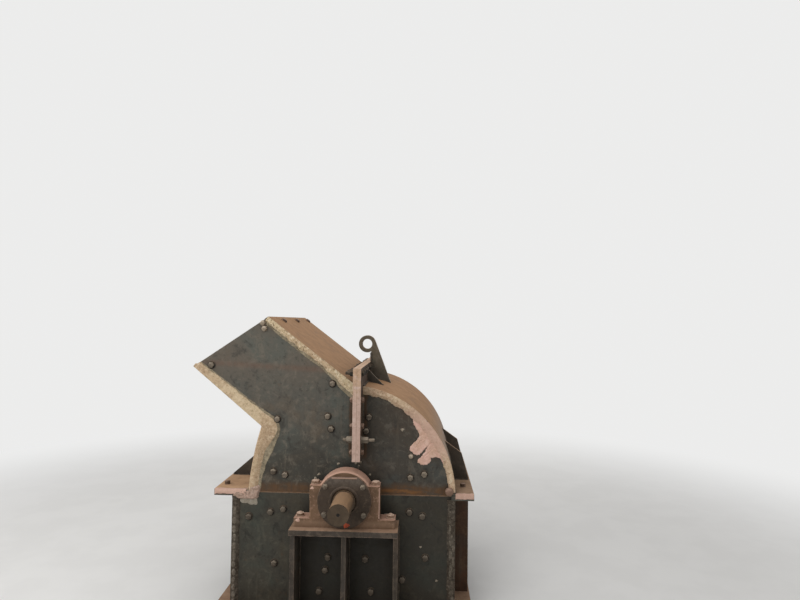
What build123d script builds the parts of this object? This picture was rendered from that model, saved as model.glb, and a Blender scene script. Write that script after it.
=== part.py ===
from build123d import *
import math
import os

os.makedirs("parts", exist_ok=True)

# Driving sizes in millimetres. Reach and height values are taken from the shaft axis.

# Plates of the housing
wrap_plate = 20  # end walls, chute plates and cover shell
side_plate = 20  # front and back plates
side_step = 12  # the side plates sit this far inside the edges of the wrapped plates
flange_plate = 16  # seam flanges
joint_plate = 20  # upright joint flanges
liner_plate = 20  # wear plates inside

# Lower housing
body_depth = 900  # front edge to back edge of the wrapped plates
shaft_height = 620  # shaft axis above the floor
lower_left_reach = 591
seam_drop = 8  # the halves meet this far below the shaft axis
seam_flange_reach = 94  # seam flanges stand out this far from the lower end walls
base_plate = 25
base_ledge = 50  # base plates reach this far inside the walls

# Feed housing
feed_angle = 39.6  # degrees below level, bottom plate of the chute
feed_top_angle = 37  # degrees below level, top plate of the chute
chute_length = 572  # top plate, from the joint flange up to the mouth
chute_height = 447  # square across the mouth, over both plates
chute_lip = 131  # the bottom plate runs this far past the top plate
chute_rise = 2  # the top plate meets the joint flange this far above the cover's crown
wall_step = 83  # the left wall's foot stands this far inside the lower left wall
wall_lean = 60  # the left wall leans in this far between its foot and the lower chute plate
wall_bulge = 9  # outward camber of the left wall

# Rear cover and the joint between the two upper halves
cover_radius = 545
joint_x = 51  # plane where the feed housing meets the rear cover
joint_stand = 93  # joint flanges stand up this far above the cover's crown
joint_bottom = 183
joint_reach = 100  # joint flanges stand out this far from the housing's edge
joint_lip = 4  # joint flanges reach this far inside the plates that they carry

# Ribs and lifting lug
rib_plate = 16
end_rib_inset = 272  # end ribs from the front and back edges
rib_margin = 8  # ribs stop this far short of a flange's edge
feed_rib_angle = 41  # degrees
cover_rib_height = 220
shoulder_inset = 46  # corner of a cover rib, from the end of its flange
shoulder_height = 153
joint_rib_inset = 235
joint_rib_drop = 35  # from the top of the joint flange
joint_rib_width = 90
lug_plate = 30
eye_offset = 4  # eye from the joint plane, towards the feed side
eye_rise = 101  # eye above the joint flanges
eye_radius = 50
eye_hole = 29
lug_foot_width = 117  # lug's foot on the cover, from the joint flange

# Bearing brackets
bracket_reach = 160  # from the housing's edge
bracket_half_width = 262
bracket_top = -131
bracket_plate = 26
bracket_rib = 22
bracket_rib_setback = 40

# Bearing housings
block_depth = 85
block_foot_half = 248
block_foot_height = 42
block_half_width = 171
block_radius = 141
block_ear_height = 70
block_gap = 43  # from the front face of the block to the front edge of the shelf
block_bevel = 7
cover_disc_radius = 129
cover_flat = 112  # flat on top of the end cover, above the axis
cover_disc = 18

# Rotor
tip_gap = 60  # hammer tips to the cover's wear plate
shaft_core = 75
shaft_shoulder = 62
journal_radius = 55
drive_radius = 49  # front shaft end
flywheel_radius = 47.5  # back shaft end
drive_reach = 318  # shaft end from the housing's edge
disc_half_side = 240
disc_corner_cut = 20
disc_plate = 36
disc_pitch = 164
disc_count = 5
sleeve_radius = 112
pin_radius = 22
pin_distance = 272  # from the shaft axis
pin_overhang = 8
pin_sides = 12
hammer_rows = 4
hammer_width = 124
hammer_plate = 84
hammer_tail_length = 48  # from the pin towards the shaft

# Grate under the rotor
grate_gap = 17  # from the hammer tips to the bars
bar_depth = 40
bar_width = 22
bar_count = 24
grate_angle = 138  # degrees, first bar to last
rail_plate = 24
rail_depth = 30

# Clearances and holes
running_gap = 0.3
pin_gap = 1
shaft_gap = 18  # shaft passages in the side plates
seal_gap = 4
liner_gap = 2
liner_sides = 16
anchor_radius = 15
anchor_margin = 46

# Worked out from the driving sizes
half_depth = body_depth / 2
side_face = half_depth - side_step
side_inner = side_face - side_plate
flange_left = lower_left_reach + seam_flange_reach
lower_right_reach = cover_radius  # the end wall stands under the cover's shell
flange_right = lower_right_reach + seam_flange_reach
base_top = base_plate - shaft_height
seam = -seam_drop
upper_flange_top = seam + flange_plate
lower_flange_bottom = seam - flange_plate
shaft_passage = shaft_shoulder + shaft_gap
liner_inner = side_inner - liner_plate
bracket_front = half_depth + bracket_reach
block_front = bracket_front - block_gap
block_back = block_front - block_depth
shell_inner = cover_radius - wrap_plate
wall_foot_reach = lower_left_reach - wall_step
knee_reach = wall_foot_reach - wall_lean
rotor_radius = shell_inner - liner_plate - tip_gap
disc_span = (disc_count - 1) * disc_pitch
grate_radius = rotor_radius + grate_gap
rail_inner = math.hypot(grate_radius + bar_depth, bar_width / 2)
rail_outer = rail_inner + rail_depth

# Outline of the feed chute, seen from the front
slope = math.radians(feed_angle)
down_slope = Vector(math.cos(slope), -math.sin(slope))
off_slope = Vector(math.sin(slope), math.cos(slope))
top_slope = math.radians(feed_top_angle)
down_top = Vector(math.cos(top_slope), -math.sin(top_slope))
joint_left = joint_x - joint_plate
joint_right = joint_x + joint_plate
joint_top = cover_radius + joint_stand
top_end = Vector(joint_left, cover_radius + chute_rise)
feed_top = top_end - down_top * chute_length
feed_lip = feed_top - down_slope * chute_lip - off_slope * chute_height
mouth = (feed_top - feed_lip).normalized()
lip_cut = wrap_plate / math.sin(math.radians(down_slope.get_angle(mouth)))
top_cut = wrap_plate / math.sin(math.radians(down_top.get_angle(mouth)))
cover_crown = math.sqrt(shell_inner**2 - joint_right**2)
top_end_inner = top_end - Vector(0, wrap_plate / math.cos(top_slope))
joint_open_top = min(top_end_inner.Y, cover_crown) - joint_lip
shaft_x = (-feed_lip.X - flange_right) / 2


def section(depth):
    """Plane across the machine at a depth, x to the right and y up from the shaft axis."""
    return Plane(origin=(shaft_x, depth, shaft_height), x_dir=(1, 0, 0), z_dir=(0, -1, 0))


def level(height):
    """Level plane at a height above the shaft axis, with the shaft axis along its y."""
    return Plane(origin=(shaft_x, 0, shaft_height + height), x_dir=(1, 0, 0), z_dir=(0, 0, 1))


def upright(reach):
    """Plane along the shaft at a reach, x towards the back and y up from the shaft axis."""
    return Plane(origin=(shaft_x + reach, 0, shaft_height), x_dir=(0, 1, 0), z_dir=(1, 0, 0))


def save(piece, name):
    """Label a finished piece and write its file."""
    piece.label = name
    export_step(piece, f"parts/{name}.step")


def save_pair(piece, name):
    """Write the front piece, and its mirror image as the back piece."""
    save(piece, f"front_{name}")
    save(mirror(piece, about=Plane.XZ), f"back_{name}")


def on_slope(corner, x):
    """Point at a given x on the bottom plate's slope through a corner."""
    return corner + down_slope * ((x - corner.X) / down_slope.X)


# Base frame, welded up from plates round the discharge opening, with the anchor holes
base_front = bracket_front
base_inner = side_inner - base_ledge
base_middle_x = (flange_right - flange_left) / 2
base_length = flange_left + flange_right
opening_left = wrap_plate + base_ledge - lower_left_reach
opening_right = lower_right_reach - wrap_plate - base_ledge
anchor_span_x = base_length - 2 * anchor_margin
anchor_span_y = 2 * (base_front - anchor_margin)

with BuildPart() as base_frame:
    with BuildSketch(level(base_top - base_plate)):
        with Locations((base_middle_x, 0)):
            Rectangle(base_length, 2 * base_front)
            with GridLocations(anchor_span_x, anchor_span_y, 2, 2):
                Circle(anchor_radius, mode=Mode.SUBTRACT)
        with Locations(((opening_left + opening_right) / 2, 0)):
            Rectangle(opening_right - opening_left, 2 * base_inner, mode=Mode.SUBTRACT)
    extrude(amount=base_plate)
save(base_frame.part, "base_frame")

# Lower side plates, notched for the shaft
with BuildPart() as lower_side:
    with BuildSketch(section(-side_face)):
        with BuildLine():
            Polyline(
                (-lower_left_reach + wrap_plate, base_top),
                (lower_right_reach - wrap_plate, base_top),
                (lower_right_reach - wrap_plate, seam),
                (-lower_left_reach + wrap_plate, seam),
                close=True,
            )
        make_face()
        Circle(shaft_passage, mode=Mode.SUBTRACT)
    extrude(amount=-side_plate)
save_pair(lower_side.part, "lower_side_plate")

# Lower end walls and the seam flanges on them
for name, reach, sign in (("left", lower_left_reach, -1), ("right", lower_right_reach, 1)):
    with BuildPart() as end_wall:
        with BuildSketch(section(0)):
            with Locations((sign * (reach - wrap_plate / 2), base_top)):
                Rectangle(wrap_plate, lower_flange_bottom - base_top, align=(Align.CENTER, Align.MIN))
        extrude(amount=half_depth, both=True)
    save(end_wall.part, f"lower_{name}_wall")

    with BuildPart() as lower_flange:
        flange_width = seam_flange_reach + wrap_plate
        with BuildSketch(section(0)):
            with Locations((sign * (reach + seam_flange_reach - flange_width / 2), seam)):
                Rectangle(flange_width, flange_plate, align=(Align.CENTER, Align.MAX))
        extrude(amount=half_depth, both=True)
    save(lower_flange.part, f"lower_{name}_flange")

# Ribs under the lower seam flanges, down to the base frame
lower_rib_reach = seam_flange_reach - rib_margin
with BuildPart() as lower_end_ribs:
    for depth in (-1, 1):
        with BuildSketch(section(depth * (half_depth - end_rib_inset))):
            with Locations((-lower_left_reach - lower_rib_reach / 2, base_top),
                           (lower_right_reach + lower_rib_reach / 2, base_top)):
                Rectangle(lower_rib_reach, lower_flange_bottom - base_top,
                          align=(Align.CENTER, Align.MIN))
        extrude(amount=rib_plate / 2, both=True)
save(lower_end_ribs.part, "lower_end_ribs")

# Bearing brackets
with BuildPart() as bracket_shelf:
    with BuildSketch(level(bracket_top - bracket_plate)):
        with Locations((0, -(bracket_front + side_face) / 2)):
            Rectangle(2 * bracket_half_width, bracket_front - side_face)
    extrude(amount=bracket_plate)
save_pair(bracket_shelf.part, "bracket_shelf")

with BuildPart() as bracket_ribs:
    rib_span = bracket_half_width - bracket_rib / 2
    rib_front = bracket_front - bracket_rib_setback
    with BuildSketch(level(base_top)):
        with Locations((0, -(rib_front + side_face) / 2)):
            with GridLocations(rib_span, 1, 3, 1):
                Rectangle(bracket_rib, rib_front - side_face)
    extrude(amount=bracket_top - bracket_plate - base_top)
save_pair(bracket_ribs.part, "bracket_ribs")

# Feed housing: seam flange, left wall and the two chute plates
with BuildPart() as feed_flange:
    feed_flange_width = flange_left - wall_foot_reach + wrap_plate
    with BuildSketch(section(0)):
        with Locations((-flange_left + feed_flange_width / 2, seam + flange_plate / 2)):
            Rectangle(feed_flange_width, flange_plate)
    extrude(amount=half_depth, both=True)
save(feed_flange.part, "feed_seam_flange")

wall_foot = Vector(-wall_foot_reach, upper_flange_top)
knee = on_slope(feed_lip, -knee_reach)
knee_inner = on_slope(feed_lip, -knee_reach + wrap_plate)
wall_middle = (wall_foot + knee) / 2 - Vector(wall_bulge, 0)
thickness = Vector(wrap_plate, 0)

with BuildPart() as feed_wall:
    with BuildSketch(section(0)):
        with BuildLine():
            ThreePointArc(wall_foot, wall_middle, knee)
            Line(knee, knee_inner)
            ThreePointArc(knee_inner, wall_middle + thickness, wall_foot + thickness)
            Line(wall_foot + thickness, wall_foot)
        make_face()
    extrude(amount=half_depth, both=True)
save(feed_wall.part, "feed_wall")

lip_inner = feed_lip + mouth * lip_cut
top_inner = feed_top - mouth * top_cut
knee_top = knee_inner + Vector(0, wrap_plate / math.cos(slope))

with BuildPart() as chute_bottom:
    with BuildSketch(section(0)):
        with BuildLine():
            Polyline(feed_lip, knee_inner, knee_top, lip_inner, close=True)
        make_face()
    extrude(amount=half_depth, both=True)
save(chute_bottom.part, "chute_bottom_plate")

with BuildPart() as chute_top:
    with BuildSketch(section(0)):
        with BuildLine():
            Polyline(feed_top, top_end, top_end_inner, top_inner, close=True)
        make_face()
    extrude(amount=half_depth, both=True)
save(chute_top.part, "chute_top_plate")

# Feed housing side plates, inside the wrapped plates
with BuildPart() as feed_side:
    with BuildSketch(section(-side_face)):
        with BuildLine():
            ThreePointArc(wall_foot + thickness, wall_middle + thickness, knee_inner)
            Polyline(
                knee_inner,
                knee_top,
                lip_inner,
                top_inner,
                top_end_inner,
                (joint_left, joint_open_top),
                (joint_x, joint_open_top),
                (joint_x, seam),
                (-wall_foot_reach + wrap_plate, seam),
                wall_foot + thickness,
            )
        make_face()
        Circle(shaft_passage, mode=Mode.SUBTRACT)
    extrude(amount=-side_plate)
save_pair(feed_side.part, "feed_side_plate")

# Joint flanges between the feed housing and the rear cover
for name, reach in (("feed_joint_flange", joint_left), ("cover_joint_flange", joint_x)):
    with BuildPart() as joint_flange:
        with BuildSketch(upright(reach)):
            with Locations((0, (joint_top + joint_bottom) / 2)):
                Rectangle(2 * (half_depth + joint_reach), joint_top - joint_bottom)
            with Locations((0, joint_open_top)):
                Rectangle(2 * side_face, joint_open_top - joint_bottom,
                          align=(Align.CENTER, Align.MAX), mode=Mode.SUBTRACT)
        extrude(amount=joint_plate)
    save(joint_flange.part, name)

# Rear cover: seam flange, rolled shell and side plates
with BuildPart() as cover_flange:
    cover_flange_width = seam_flange_reach + wrap_plate
    with BuildSketch(section(0)):
        with Locations((flange_right - cover_flange_width / 2, seam + flange_plate / 2)):
            Rectangle(cover_flange_width, flange_plate)
    extrude(amount=half_depth, both=True)
save(cover_flange.part, "cover_seam_flange")

with BuildPart() as cover_shell:
    with BuildSketch(section(0)):
        Circle(cover_radius)
        Circle(shell_inner, mode=Mode.SUBTRACT)
        with Locations((joint_right, upper_flange_top)):
            Rectangle(cover_radius, cover_radius, align=(Align.MIN, Align.MIN), mode=Mode.INTERSECT)
    extrude(amount=half_depth, both=True)
save(cover_shell.part, "cover_shell")

with BuildPart() as cover_side:
    with BuildSketch(section(-side_face)):
        Circle(shell_inner)
        with Locations((joint_x, seam)):
            Rectangle(cover_radius, cover_radius, align=(Align.MIN, Align.MIN), mode=Mode.INTERSECT)
        with Locations((joint_x, joint_open_top)):
            Rectangle(joint_plate, cover_radius, align=(Align.MIN, Align.MIN), mode=Mode.SUBTRACT)
        Circle(shaft_passage, mode=Mode.SUBTRACT)
    extrude(amount=-side_plate)
save_pair(cover_side.part, "cover_side_plate")

# Ribs on the seam flanges and on both sides of the joint flanges
rib_rows = (end_rib_inset - half_depth, half_depth - end_rib_inset)
with BuildPart() as feed_end_ribs:
    rib_toe = -flange_left + rib_margin
    rib_crest = upper_flange_top + rib_margin - rib_toe * math.tan(math.radians(feed_rib_angle))
    with BuildSketch(*[section(depth) for depth in rib_rows]):
        with BuildLine():
            ThreePointArc(wall_foot, wall_middle, knee)
            Polyline(knee, (rib_toe, knee.Y), (rib_toe, upper_flange_top), wall_foot)
        make_face()
        with BuildLine():
            Polyline((rib_toe, upper_flange_top + rib_margin), (rib_toe, rib_crest), (0, rib_crest),
                     close=True)
        make_face(mode=Mode.SUBTRACT)
    extrude(amount=rib_plate / 2, both=True)
save(feed_end_ribs.part, "feed_end_ribs")

with BuildPart() as cover_end_ribs:
    with BuildSketch(*[section(depth) for depth in rib_rows]):
        with BuildLine():
            Polyline(
                (joint_right, upper_flange_top),
                (flange_right - rib_margin, upper_flange_top),
                (flange_right - rib_margin, upper_flange_top + rib_margin),
                (flange_right - shoulder_inset, shoulder_height),
                (math.sqrt(cover_radius**2 - cover_rib_height**2), cover_rib_height),
                (joint_right, cover_rib_height),
                close=True,
            )
        make_face()
        Circle(cover_radius, mode=Mode.SUBTRACT)
    extrude(amount=rib_plate / 2, both=True)
save(cover_end_ribs.part, "cover_end_ribs")

rib_top = joint_top - joint_rib_drop
joint_rib_rows = [section(side * (half_depth - joint_rib_inset)) for side in (-1, 1)]
with BuildPart() as cover_joint_ribs:
    rib_foot_x = joint_right + joint_rib_width
    with BuildSketch(*joint_rib_rows):
        with BuildLine():
            Polyline(
                (joint_right, 0),
                (joint_right, rib_top),
                (joint_right + rib_margin, rib_top),
                (rib_foot_x, math.sqrt(cover_radius**2 - rib_foot_x**2)),
                (rib_foot_x, 0),
                close=True,
            )
        make_face()
        Circle(cover_radius, mode=Mode.SUBTRACT)
    extrude(amount=rib_plate / 2, both=True)
save(cover_joint_ribs.part, "cover_joint_ribs")

feed_joint_rib_width = (rib_top - top_end.Y) / math.tan(top_slope)
with BuildPart() as feed_joint_ribs:
    with BuildSketch(*joint_rib_rows):
        with BuildLine():
            Polyline(
                top_end,
                (joint_left, rib_top),
                (joint_left - feed_joint_rib_width, rib_top),
                close=True,
            )
        make_face()
    extrude(amount=rib_plate / 2, both=True)
save(feed_joint_ribs.part, "feed_joint_ribs")

# Lifting lug on the crown of the rear cover, its eye over the joint
eye = Vector(joint_x - eye_offset, joint_top + eye_rise)
lug_foot_x = joint_right + lug_foot_width
lug_foot = Vector(lug_foot_x, math.sqrt(cover_radius**2 - lug_foot_x**2))
with BuildPart() as lifting_lug:
    lean = lug_foot - eye
    touch_angle = math.degrees(math.acos(eye_radius / lean.length))
    lug_shoulder = eye + lean.normalized().rotate(Axis.Z, touch_angle) * eye_radius
    with BuildSketch(section(0)):
        with Locations(eye):
            Circle(eye_radius)
        with BuildLine():
            Polyline(eye, (joint_right, eye.Y), (joint_right, 0), (lug_foot_x, 0), lug_foot,
                     lug_shoulder, close=True)
        make_face()
        Circle(cover_radius, mode=Mode.SUBTRACT)
        with Locations(eye):
            Circle(eye_hole, mode=Mode.SUBTRACT)
    extrude(amount=lug_plate / 2, both=True)
save(lifting_lug.part, "lifting_lug")

# Wear plates inside the chamber
breaker_reach = Vector(liner_plate, 0)
with BuildPart() as breaker:
    with BuildSketch(section(0)):
        with BuildLine():
            ThreePointArc(wall_foot + thickness, wall_middle + thickness, knee_inner)
            Line(knee_inner, knee_inner + breaker_reach)
            ThreePointArc(
                knee_inner + breaker_reach,
                wall_middle + thickness + breaker_reach,
                wall_foot + thickness + breaker_reach,
            )
            Line(wall_foot + thickness + breaker_reach, wall_foot + thickness)
        make_face()
    extrude(amount=liner_inner, both=True)
save(breaker.part, "breaker_plate")

with BuildPart() as cover_liner:
    with BuildSketch(section(0)):
        Circle(shell_inner)
        Circle(shell_inner - liner_plate, mode=Mode.SUBTRACT)
        with Locations((joint_right, upper_flange_top)):
            Rectangle(cover_radius, cover_radius, align=(Align.MIN, Align.MIN), mode=Mode.INTERSECT)
    extrude(amount=liner_inner, both=True)
save(cover_liner.part, "cover_liner")

liner_radius = wall_foot_reach - wrap_plate - liner_plate - liner_gap
lower_liner_left = lower_left_reach - wrap_plate - liner_gap
lower_liner_right = lower_right_reach - wrap_plate - liner_gap
with BuildPart() as side_liners:
    with BuildSketch(section(-side_inner), section(liner_inner)):
        RegularPolygon(liner_radius, liner_sides)
        with Locations((0, seam)):
            Rectangle(2 * liner_radius, liner_radius, align=(Align.CENTER, Align.MIN),
                      mode=Mode.INTERSECT)
        with Locations((0, seam - liner_gap)):
            Rectangle(lower_liner_left, rail_outer, align=(Align.MAX, Align.MAX))
            Rectangle(lower_liner_right, rail_outer, align=(Align.MIN, Align.MAX))
        Circle(shaft_passage, mode=Mode.SUBTRACT)
    extrude(amount=-liner_plate)
save(side_liners.part, "side_liners")

# Grate under the rotor: separate bars lie across two curved rails
with BuildPart() as grate_bars:
    with BuildSketch(section(0)):
        with PolarLocations(grate_radius + bar_depth / 2, bar_count, -90 - grate_angle / 2, grate_angle,
                            endpoint=True):
            Rectangle(bar_depth, bar_width)
    extrude(amount=liner_inner, both=True)
save(grate_bars.part, "grate_bars")

rail_turn = grate_angle / 2 + math.degrees(bar_width / rail_inner)
with BuildPart() as grate_rails:
    with BuildSketch(section(-liner_inner), section(liner_inner - rail_plate)):
        with BuildLine():
            CenterArc((0, 0), rail_inner, -90 - rail_turn, 2 * rail_turn)
            CenterArc((0, 0), rail_outer, -90 - rail_turn, 2 * rail_turn)
            for turn in (-90 - rail_turn, -90 + rail_turn):
                Line(
                    Vector(rail_inner, 0).rotate(Axis.Z, turn),
                    Vector(rail_outer, 0).rotate(Axis.Z, turn),
                )
        make_face()
    extrude(amount=-rail_plate)
save(grate_rails.part, "grate_rails")

# Bearing housings, split at the shaft axis, with the bearing closed inside
journal_bore = journal_radius + running_gap
with BuildPart() as bearing_base:
    with BuildSketch(section(-block_front)):
        with Locations((0, bracket_top)):
            Rectangle(2 * block_foot_half, block_foot_height, align=(Align.CENTER, Align.MIN))
            Rectangle(2 * block_half_width, -bracket_top, align=(Align.CENTER, Align.MIN))
        Circle(journal_bore, mode=Mode.SUBTRACT)
    extrude(amount=-block_depth)
    chamfer(bearing_base.edges().filter_by(Axis.Z).group_by(Axis.Y)[0], length=block_bevel)
save_pair(bearing_base.part, "bearing_base")

with BuildPart() as bearing_cap:
    with BuildSketch(section(-block_front)):
        Circle(block_radius)
        Rectangle(3 * block_radius, 2 * block_radius, align=(Align.CENTER, Align.MIN),
                  mode=Mode.INTERSECT)
        Rectangle(2 * block_half_width, block_ear_height, align=(Align.CENTER, Align.MIN))
        Circle(journal_bore, mode=Mode.SUBTRACT)
    extrude(amount=-block_depth)
    front_rim = bearing_cap.faces().sort_by(Axis.Y)[0].outer_wire().edges()
    chamfer(front_rim.filter_by(GeomType.CIRCLE).sort_by(Axis.Z)[-1:], length=block_bevel)
save_pair(bearing_cap.part, "bearing_cap")

with BuildPart() as end_cover:
    with BuildSketch(section(-block_front)):
        Circle(cover_disc_radius)
        with Locations((0, cover_flat)):
            Rectangle(2 * cover_disc_radius, 2 * cover_disc_radius, align=(Align.CENTER, Align.MAX),
                      mode=Mode.INTERSECT)
        Circle(journal_radius + seal_gap, mode=Mode.SUBTRACT)
    extrude(amount=cover_disc)
save_pair(end_cover.part, "end_cover")

# Rotor shaft, turned in steps
core_end = disc_span / 2 + disc_plate / 2 + pin_overhang
shoulder_end = block_back - seal_gap
journal_end = block_front + cover_disc
shaft_end = half_depth + drive_reach
with BuildPart() as shaft:
    for side, end_radius in ((-1, drive_radius), (1, flywheel_radius)):
        with BuildSketch(upright(0)):
            with BuildLine():
                Polyline(
                    (0, 0),
                    (0, shaft_core),
                    (side * core_end, shaft_core),
                    (side * core_end, shaft_shoulder),
                    (side * shoulder_end, shaft_shoulder),
                    (side * shoulder_end, journal_radius),
                    (side * journal_end, journal_radius),
                    (side * journal_end, end_radius),
                    (side * shaft_end, end_radius),
                    (side * shaft_end, 0),
                    close=True,
                )
            make_face()
    revolve(axis=Axis((shaft_x, 0, shaft_height), (0, 1, 0)))
save(shaft.part, "rotor_shaft")

# Sleeve on the shaft, and on it the discs, square with cut corners and a pin hole in each corner
disc_places = [place * disc_pitch - disc_span / 2 for place in range(disc_count)]
with BuildPart() as sleeve:
    with BuildSketch(section(0)):
        Circle(sleeve_radius)
        Circle(shaft_core + running_gap, mode=Mode.SUBTRACT)
    extrude(amount=disc_span / 2 + disc_plate / 2, both=True)
save(sleeve.part, "rotor_sleeve")

with BuildPart() as discs:
    with BuildSketch(*[section(place) for place in disc_places]):
        disc_outline = Rectangle(2 * disc_half_side, 2 * disc_half_side)
        chamfer(disc_outline.vertices(), length=disc_corner_cut)
        Circle(sleeve_radius + running_gap, mode=Mode.SUBTRACT)
        with PolarLocations(pin_distance, hammer_rows, 45):
            RegularPolygon(pin_radius + running_gap, pin_sides, mode=Mode.SUBTRACT)
    extrude(amount=disc_plate / 2, both=True)
save(discs.part, "rotor_discs")

# Hammer pins through all the discs
with BuildPart() as pins:
    with BuildSketch(section(0)):
        with PolarLocations(pin_distance, hammer_rows, 45):
            RegularPolygon(pin_radius, pin_sides)
    extrude(amount=core_end, both=True)
save(pins.part, "hammer_pins")

# Hammers, standing out from their pins as they do at speed
hammer_length = rotor_radius - pin_distance + hammer_tail_length
with BuildPart() as hammers:
    with BuildSketch(*[section(place + disc_pitch / 2) for place in disc_places[:-1]]):
        with PolarLocations(pin_distance - hammer_tail_length, hammer_rows, 45):
            Rectangle(hammer_length, hammer_width, align=(Align.MIN, Align.CENTER))
        Circle(rotor_radius, mode=Mode.INTERSECT)
        with PolarLocations(pin_distance, hammer_rows, 45):
            RegularPolygon(pin_radius + pin_gap, pin_sides, mode=Mode.SUBTRACT)
    extrude(amount=hammer_plate / 2, both=True)
save(hammers.part, "hammers")
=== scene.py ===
import math
import random

import bpy
from mathutils import Matrix, Vector, noise


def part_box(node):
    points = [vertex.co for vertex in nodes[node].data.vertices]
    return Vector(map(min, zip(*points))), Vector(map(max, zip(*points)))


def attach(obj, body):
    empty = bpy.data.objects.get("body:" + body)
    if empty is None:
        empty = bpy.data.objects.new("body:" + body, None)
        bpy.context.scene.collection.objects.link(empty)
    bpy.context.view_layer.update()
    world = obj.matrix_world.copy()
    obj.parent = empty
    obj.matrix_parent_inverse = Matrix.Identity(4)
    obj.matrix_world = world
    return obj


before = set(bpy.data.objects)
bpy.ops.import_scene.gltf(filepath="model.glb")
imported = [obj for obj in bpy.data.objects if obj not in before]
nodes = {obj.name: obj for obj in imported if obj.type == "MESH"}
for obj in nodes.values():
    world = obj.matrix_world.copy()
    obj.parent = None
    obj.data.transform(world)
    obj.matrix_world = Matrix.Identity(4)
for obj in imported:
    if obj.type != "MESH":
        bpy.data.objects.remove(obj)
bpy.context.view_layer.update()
print("frame loaded,", len(nodes), "solids")

mm = 0.001
sides = (("front", -1), ("back", 1))

# Main places of the housing in millimetres, x to the right and z up from the shaft axis
housing = {
    "edge": 450,  # front and back edges of the wrapped plates
    "sideFace": 438,  # outer faces of the side plates
    "plate": 20,
    "wallFoot": (-508, 8), "wallMiddle": (-487, 168.7), "knee": (-448, 329.4),
    "lip": (-811.7, 630.3), "top": (-425.8, 891.2), "topEnd": (31, 547),
    "coverRadius": 545,
    "jointLeft": 31, "jointRight": 71, "jointBottom": 183,
    "flangeTop": 8, "flangeBottom": -24, "flangeLeft": -685, "flangeRight": 639,
    "lowerLeft": -591, "lowerRight": 545, "baseTop": -595,
    "shelfTop": -131,
    "blockMiddle": 524.5, "blockFront": 567, "coverFront": 585,
}
edge, face = housing["edge"], housing["sideFace"]

shaftLow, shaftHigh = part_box("rotor_shaft")
axisX = (shaftLow.x + shaftHigh.x) / 2
axisZ = (shaftLow.z + shaftHigh.z) / 2


def at(x, y, z):
    return Vector((axisX + x * mm, y * mm, axisZ + z * mm))


def linear(colour):
    # Colour picker numbers from 0 to 255 as the linear shares a shader takes
    shares = [value / 255 for value in colour]
    return (*(s / 12.92 if s <= 0.04045 else ((s + 0.055) / 1.055) ** 2.4 for s in shares), 1)


def smoothStep(low, high, value):
    share = min(1, max(0, (value - low) / (high - low)))
    return share * share * (3 - 2 * share)


def waver(a, b, size, seed):
    # Smooth noise between about -1 and 1, with swells of this size
    return noise.noise(Vector((a / size, b / size, seed)))


class NodeTree:
    # Adds shader nodes to a material or world, and joins them

    def __init__(self, owner):
        owner.use_nodes = True
        self.tree = owner.node_tree
        self.tree.nodes.clear()

    def join(self, socket, value):
        if isinstance(value, bpy.types.NodeSocket):
            self.tree.links.new(value, socket)
        elif socket.type == "RGBA" and len(value) == 3:
            socket.default_value = linear(value)
        else:
            socket.default_value = value

    def add(self, kind, inputs=(), **settings):
        node = self.tree.nodes.new("ShaderNode" + kind)
        for key, value in settings.items():
            setattr(node, key, value)
        for key, value in dict(inputs).items():
            self.join(node.inputs[key], value)
        return node

    def maths(self, kind, first, second=0.0):
        return self.add("Math", {0: first, 1: second}, operation=kind).outputs["Value"]

    def seen(self):
        # 1 for what the camera sees, straight or in polished metal
        rays = self.add("LightPath").outputs
        return self.maths("MAXIMUM", rays["Is Camera Ray"], rays["Is Glossy Ray"])


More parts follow.
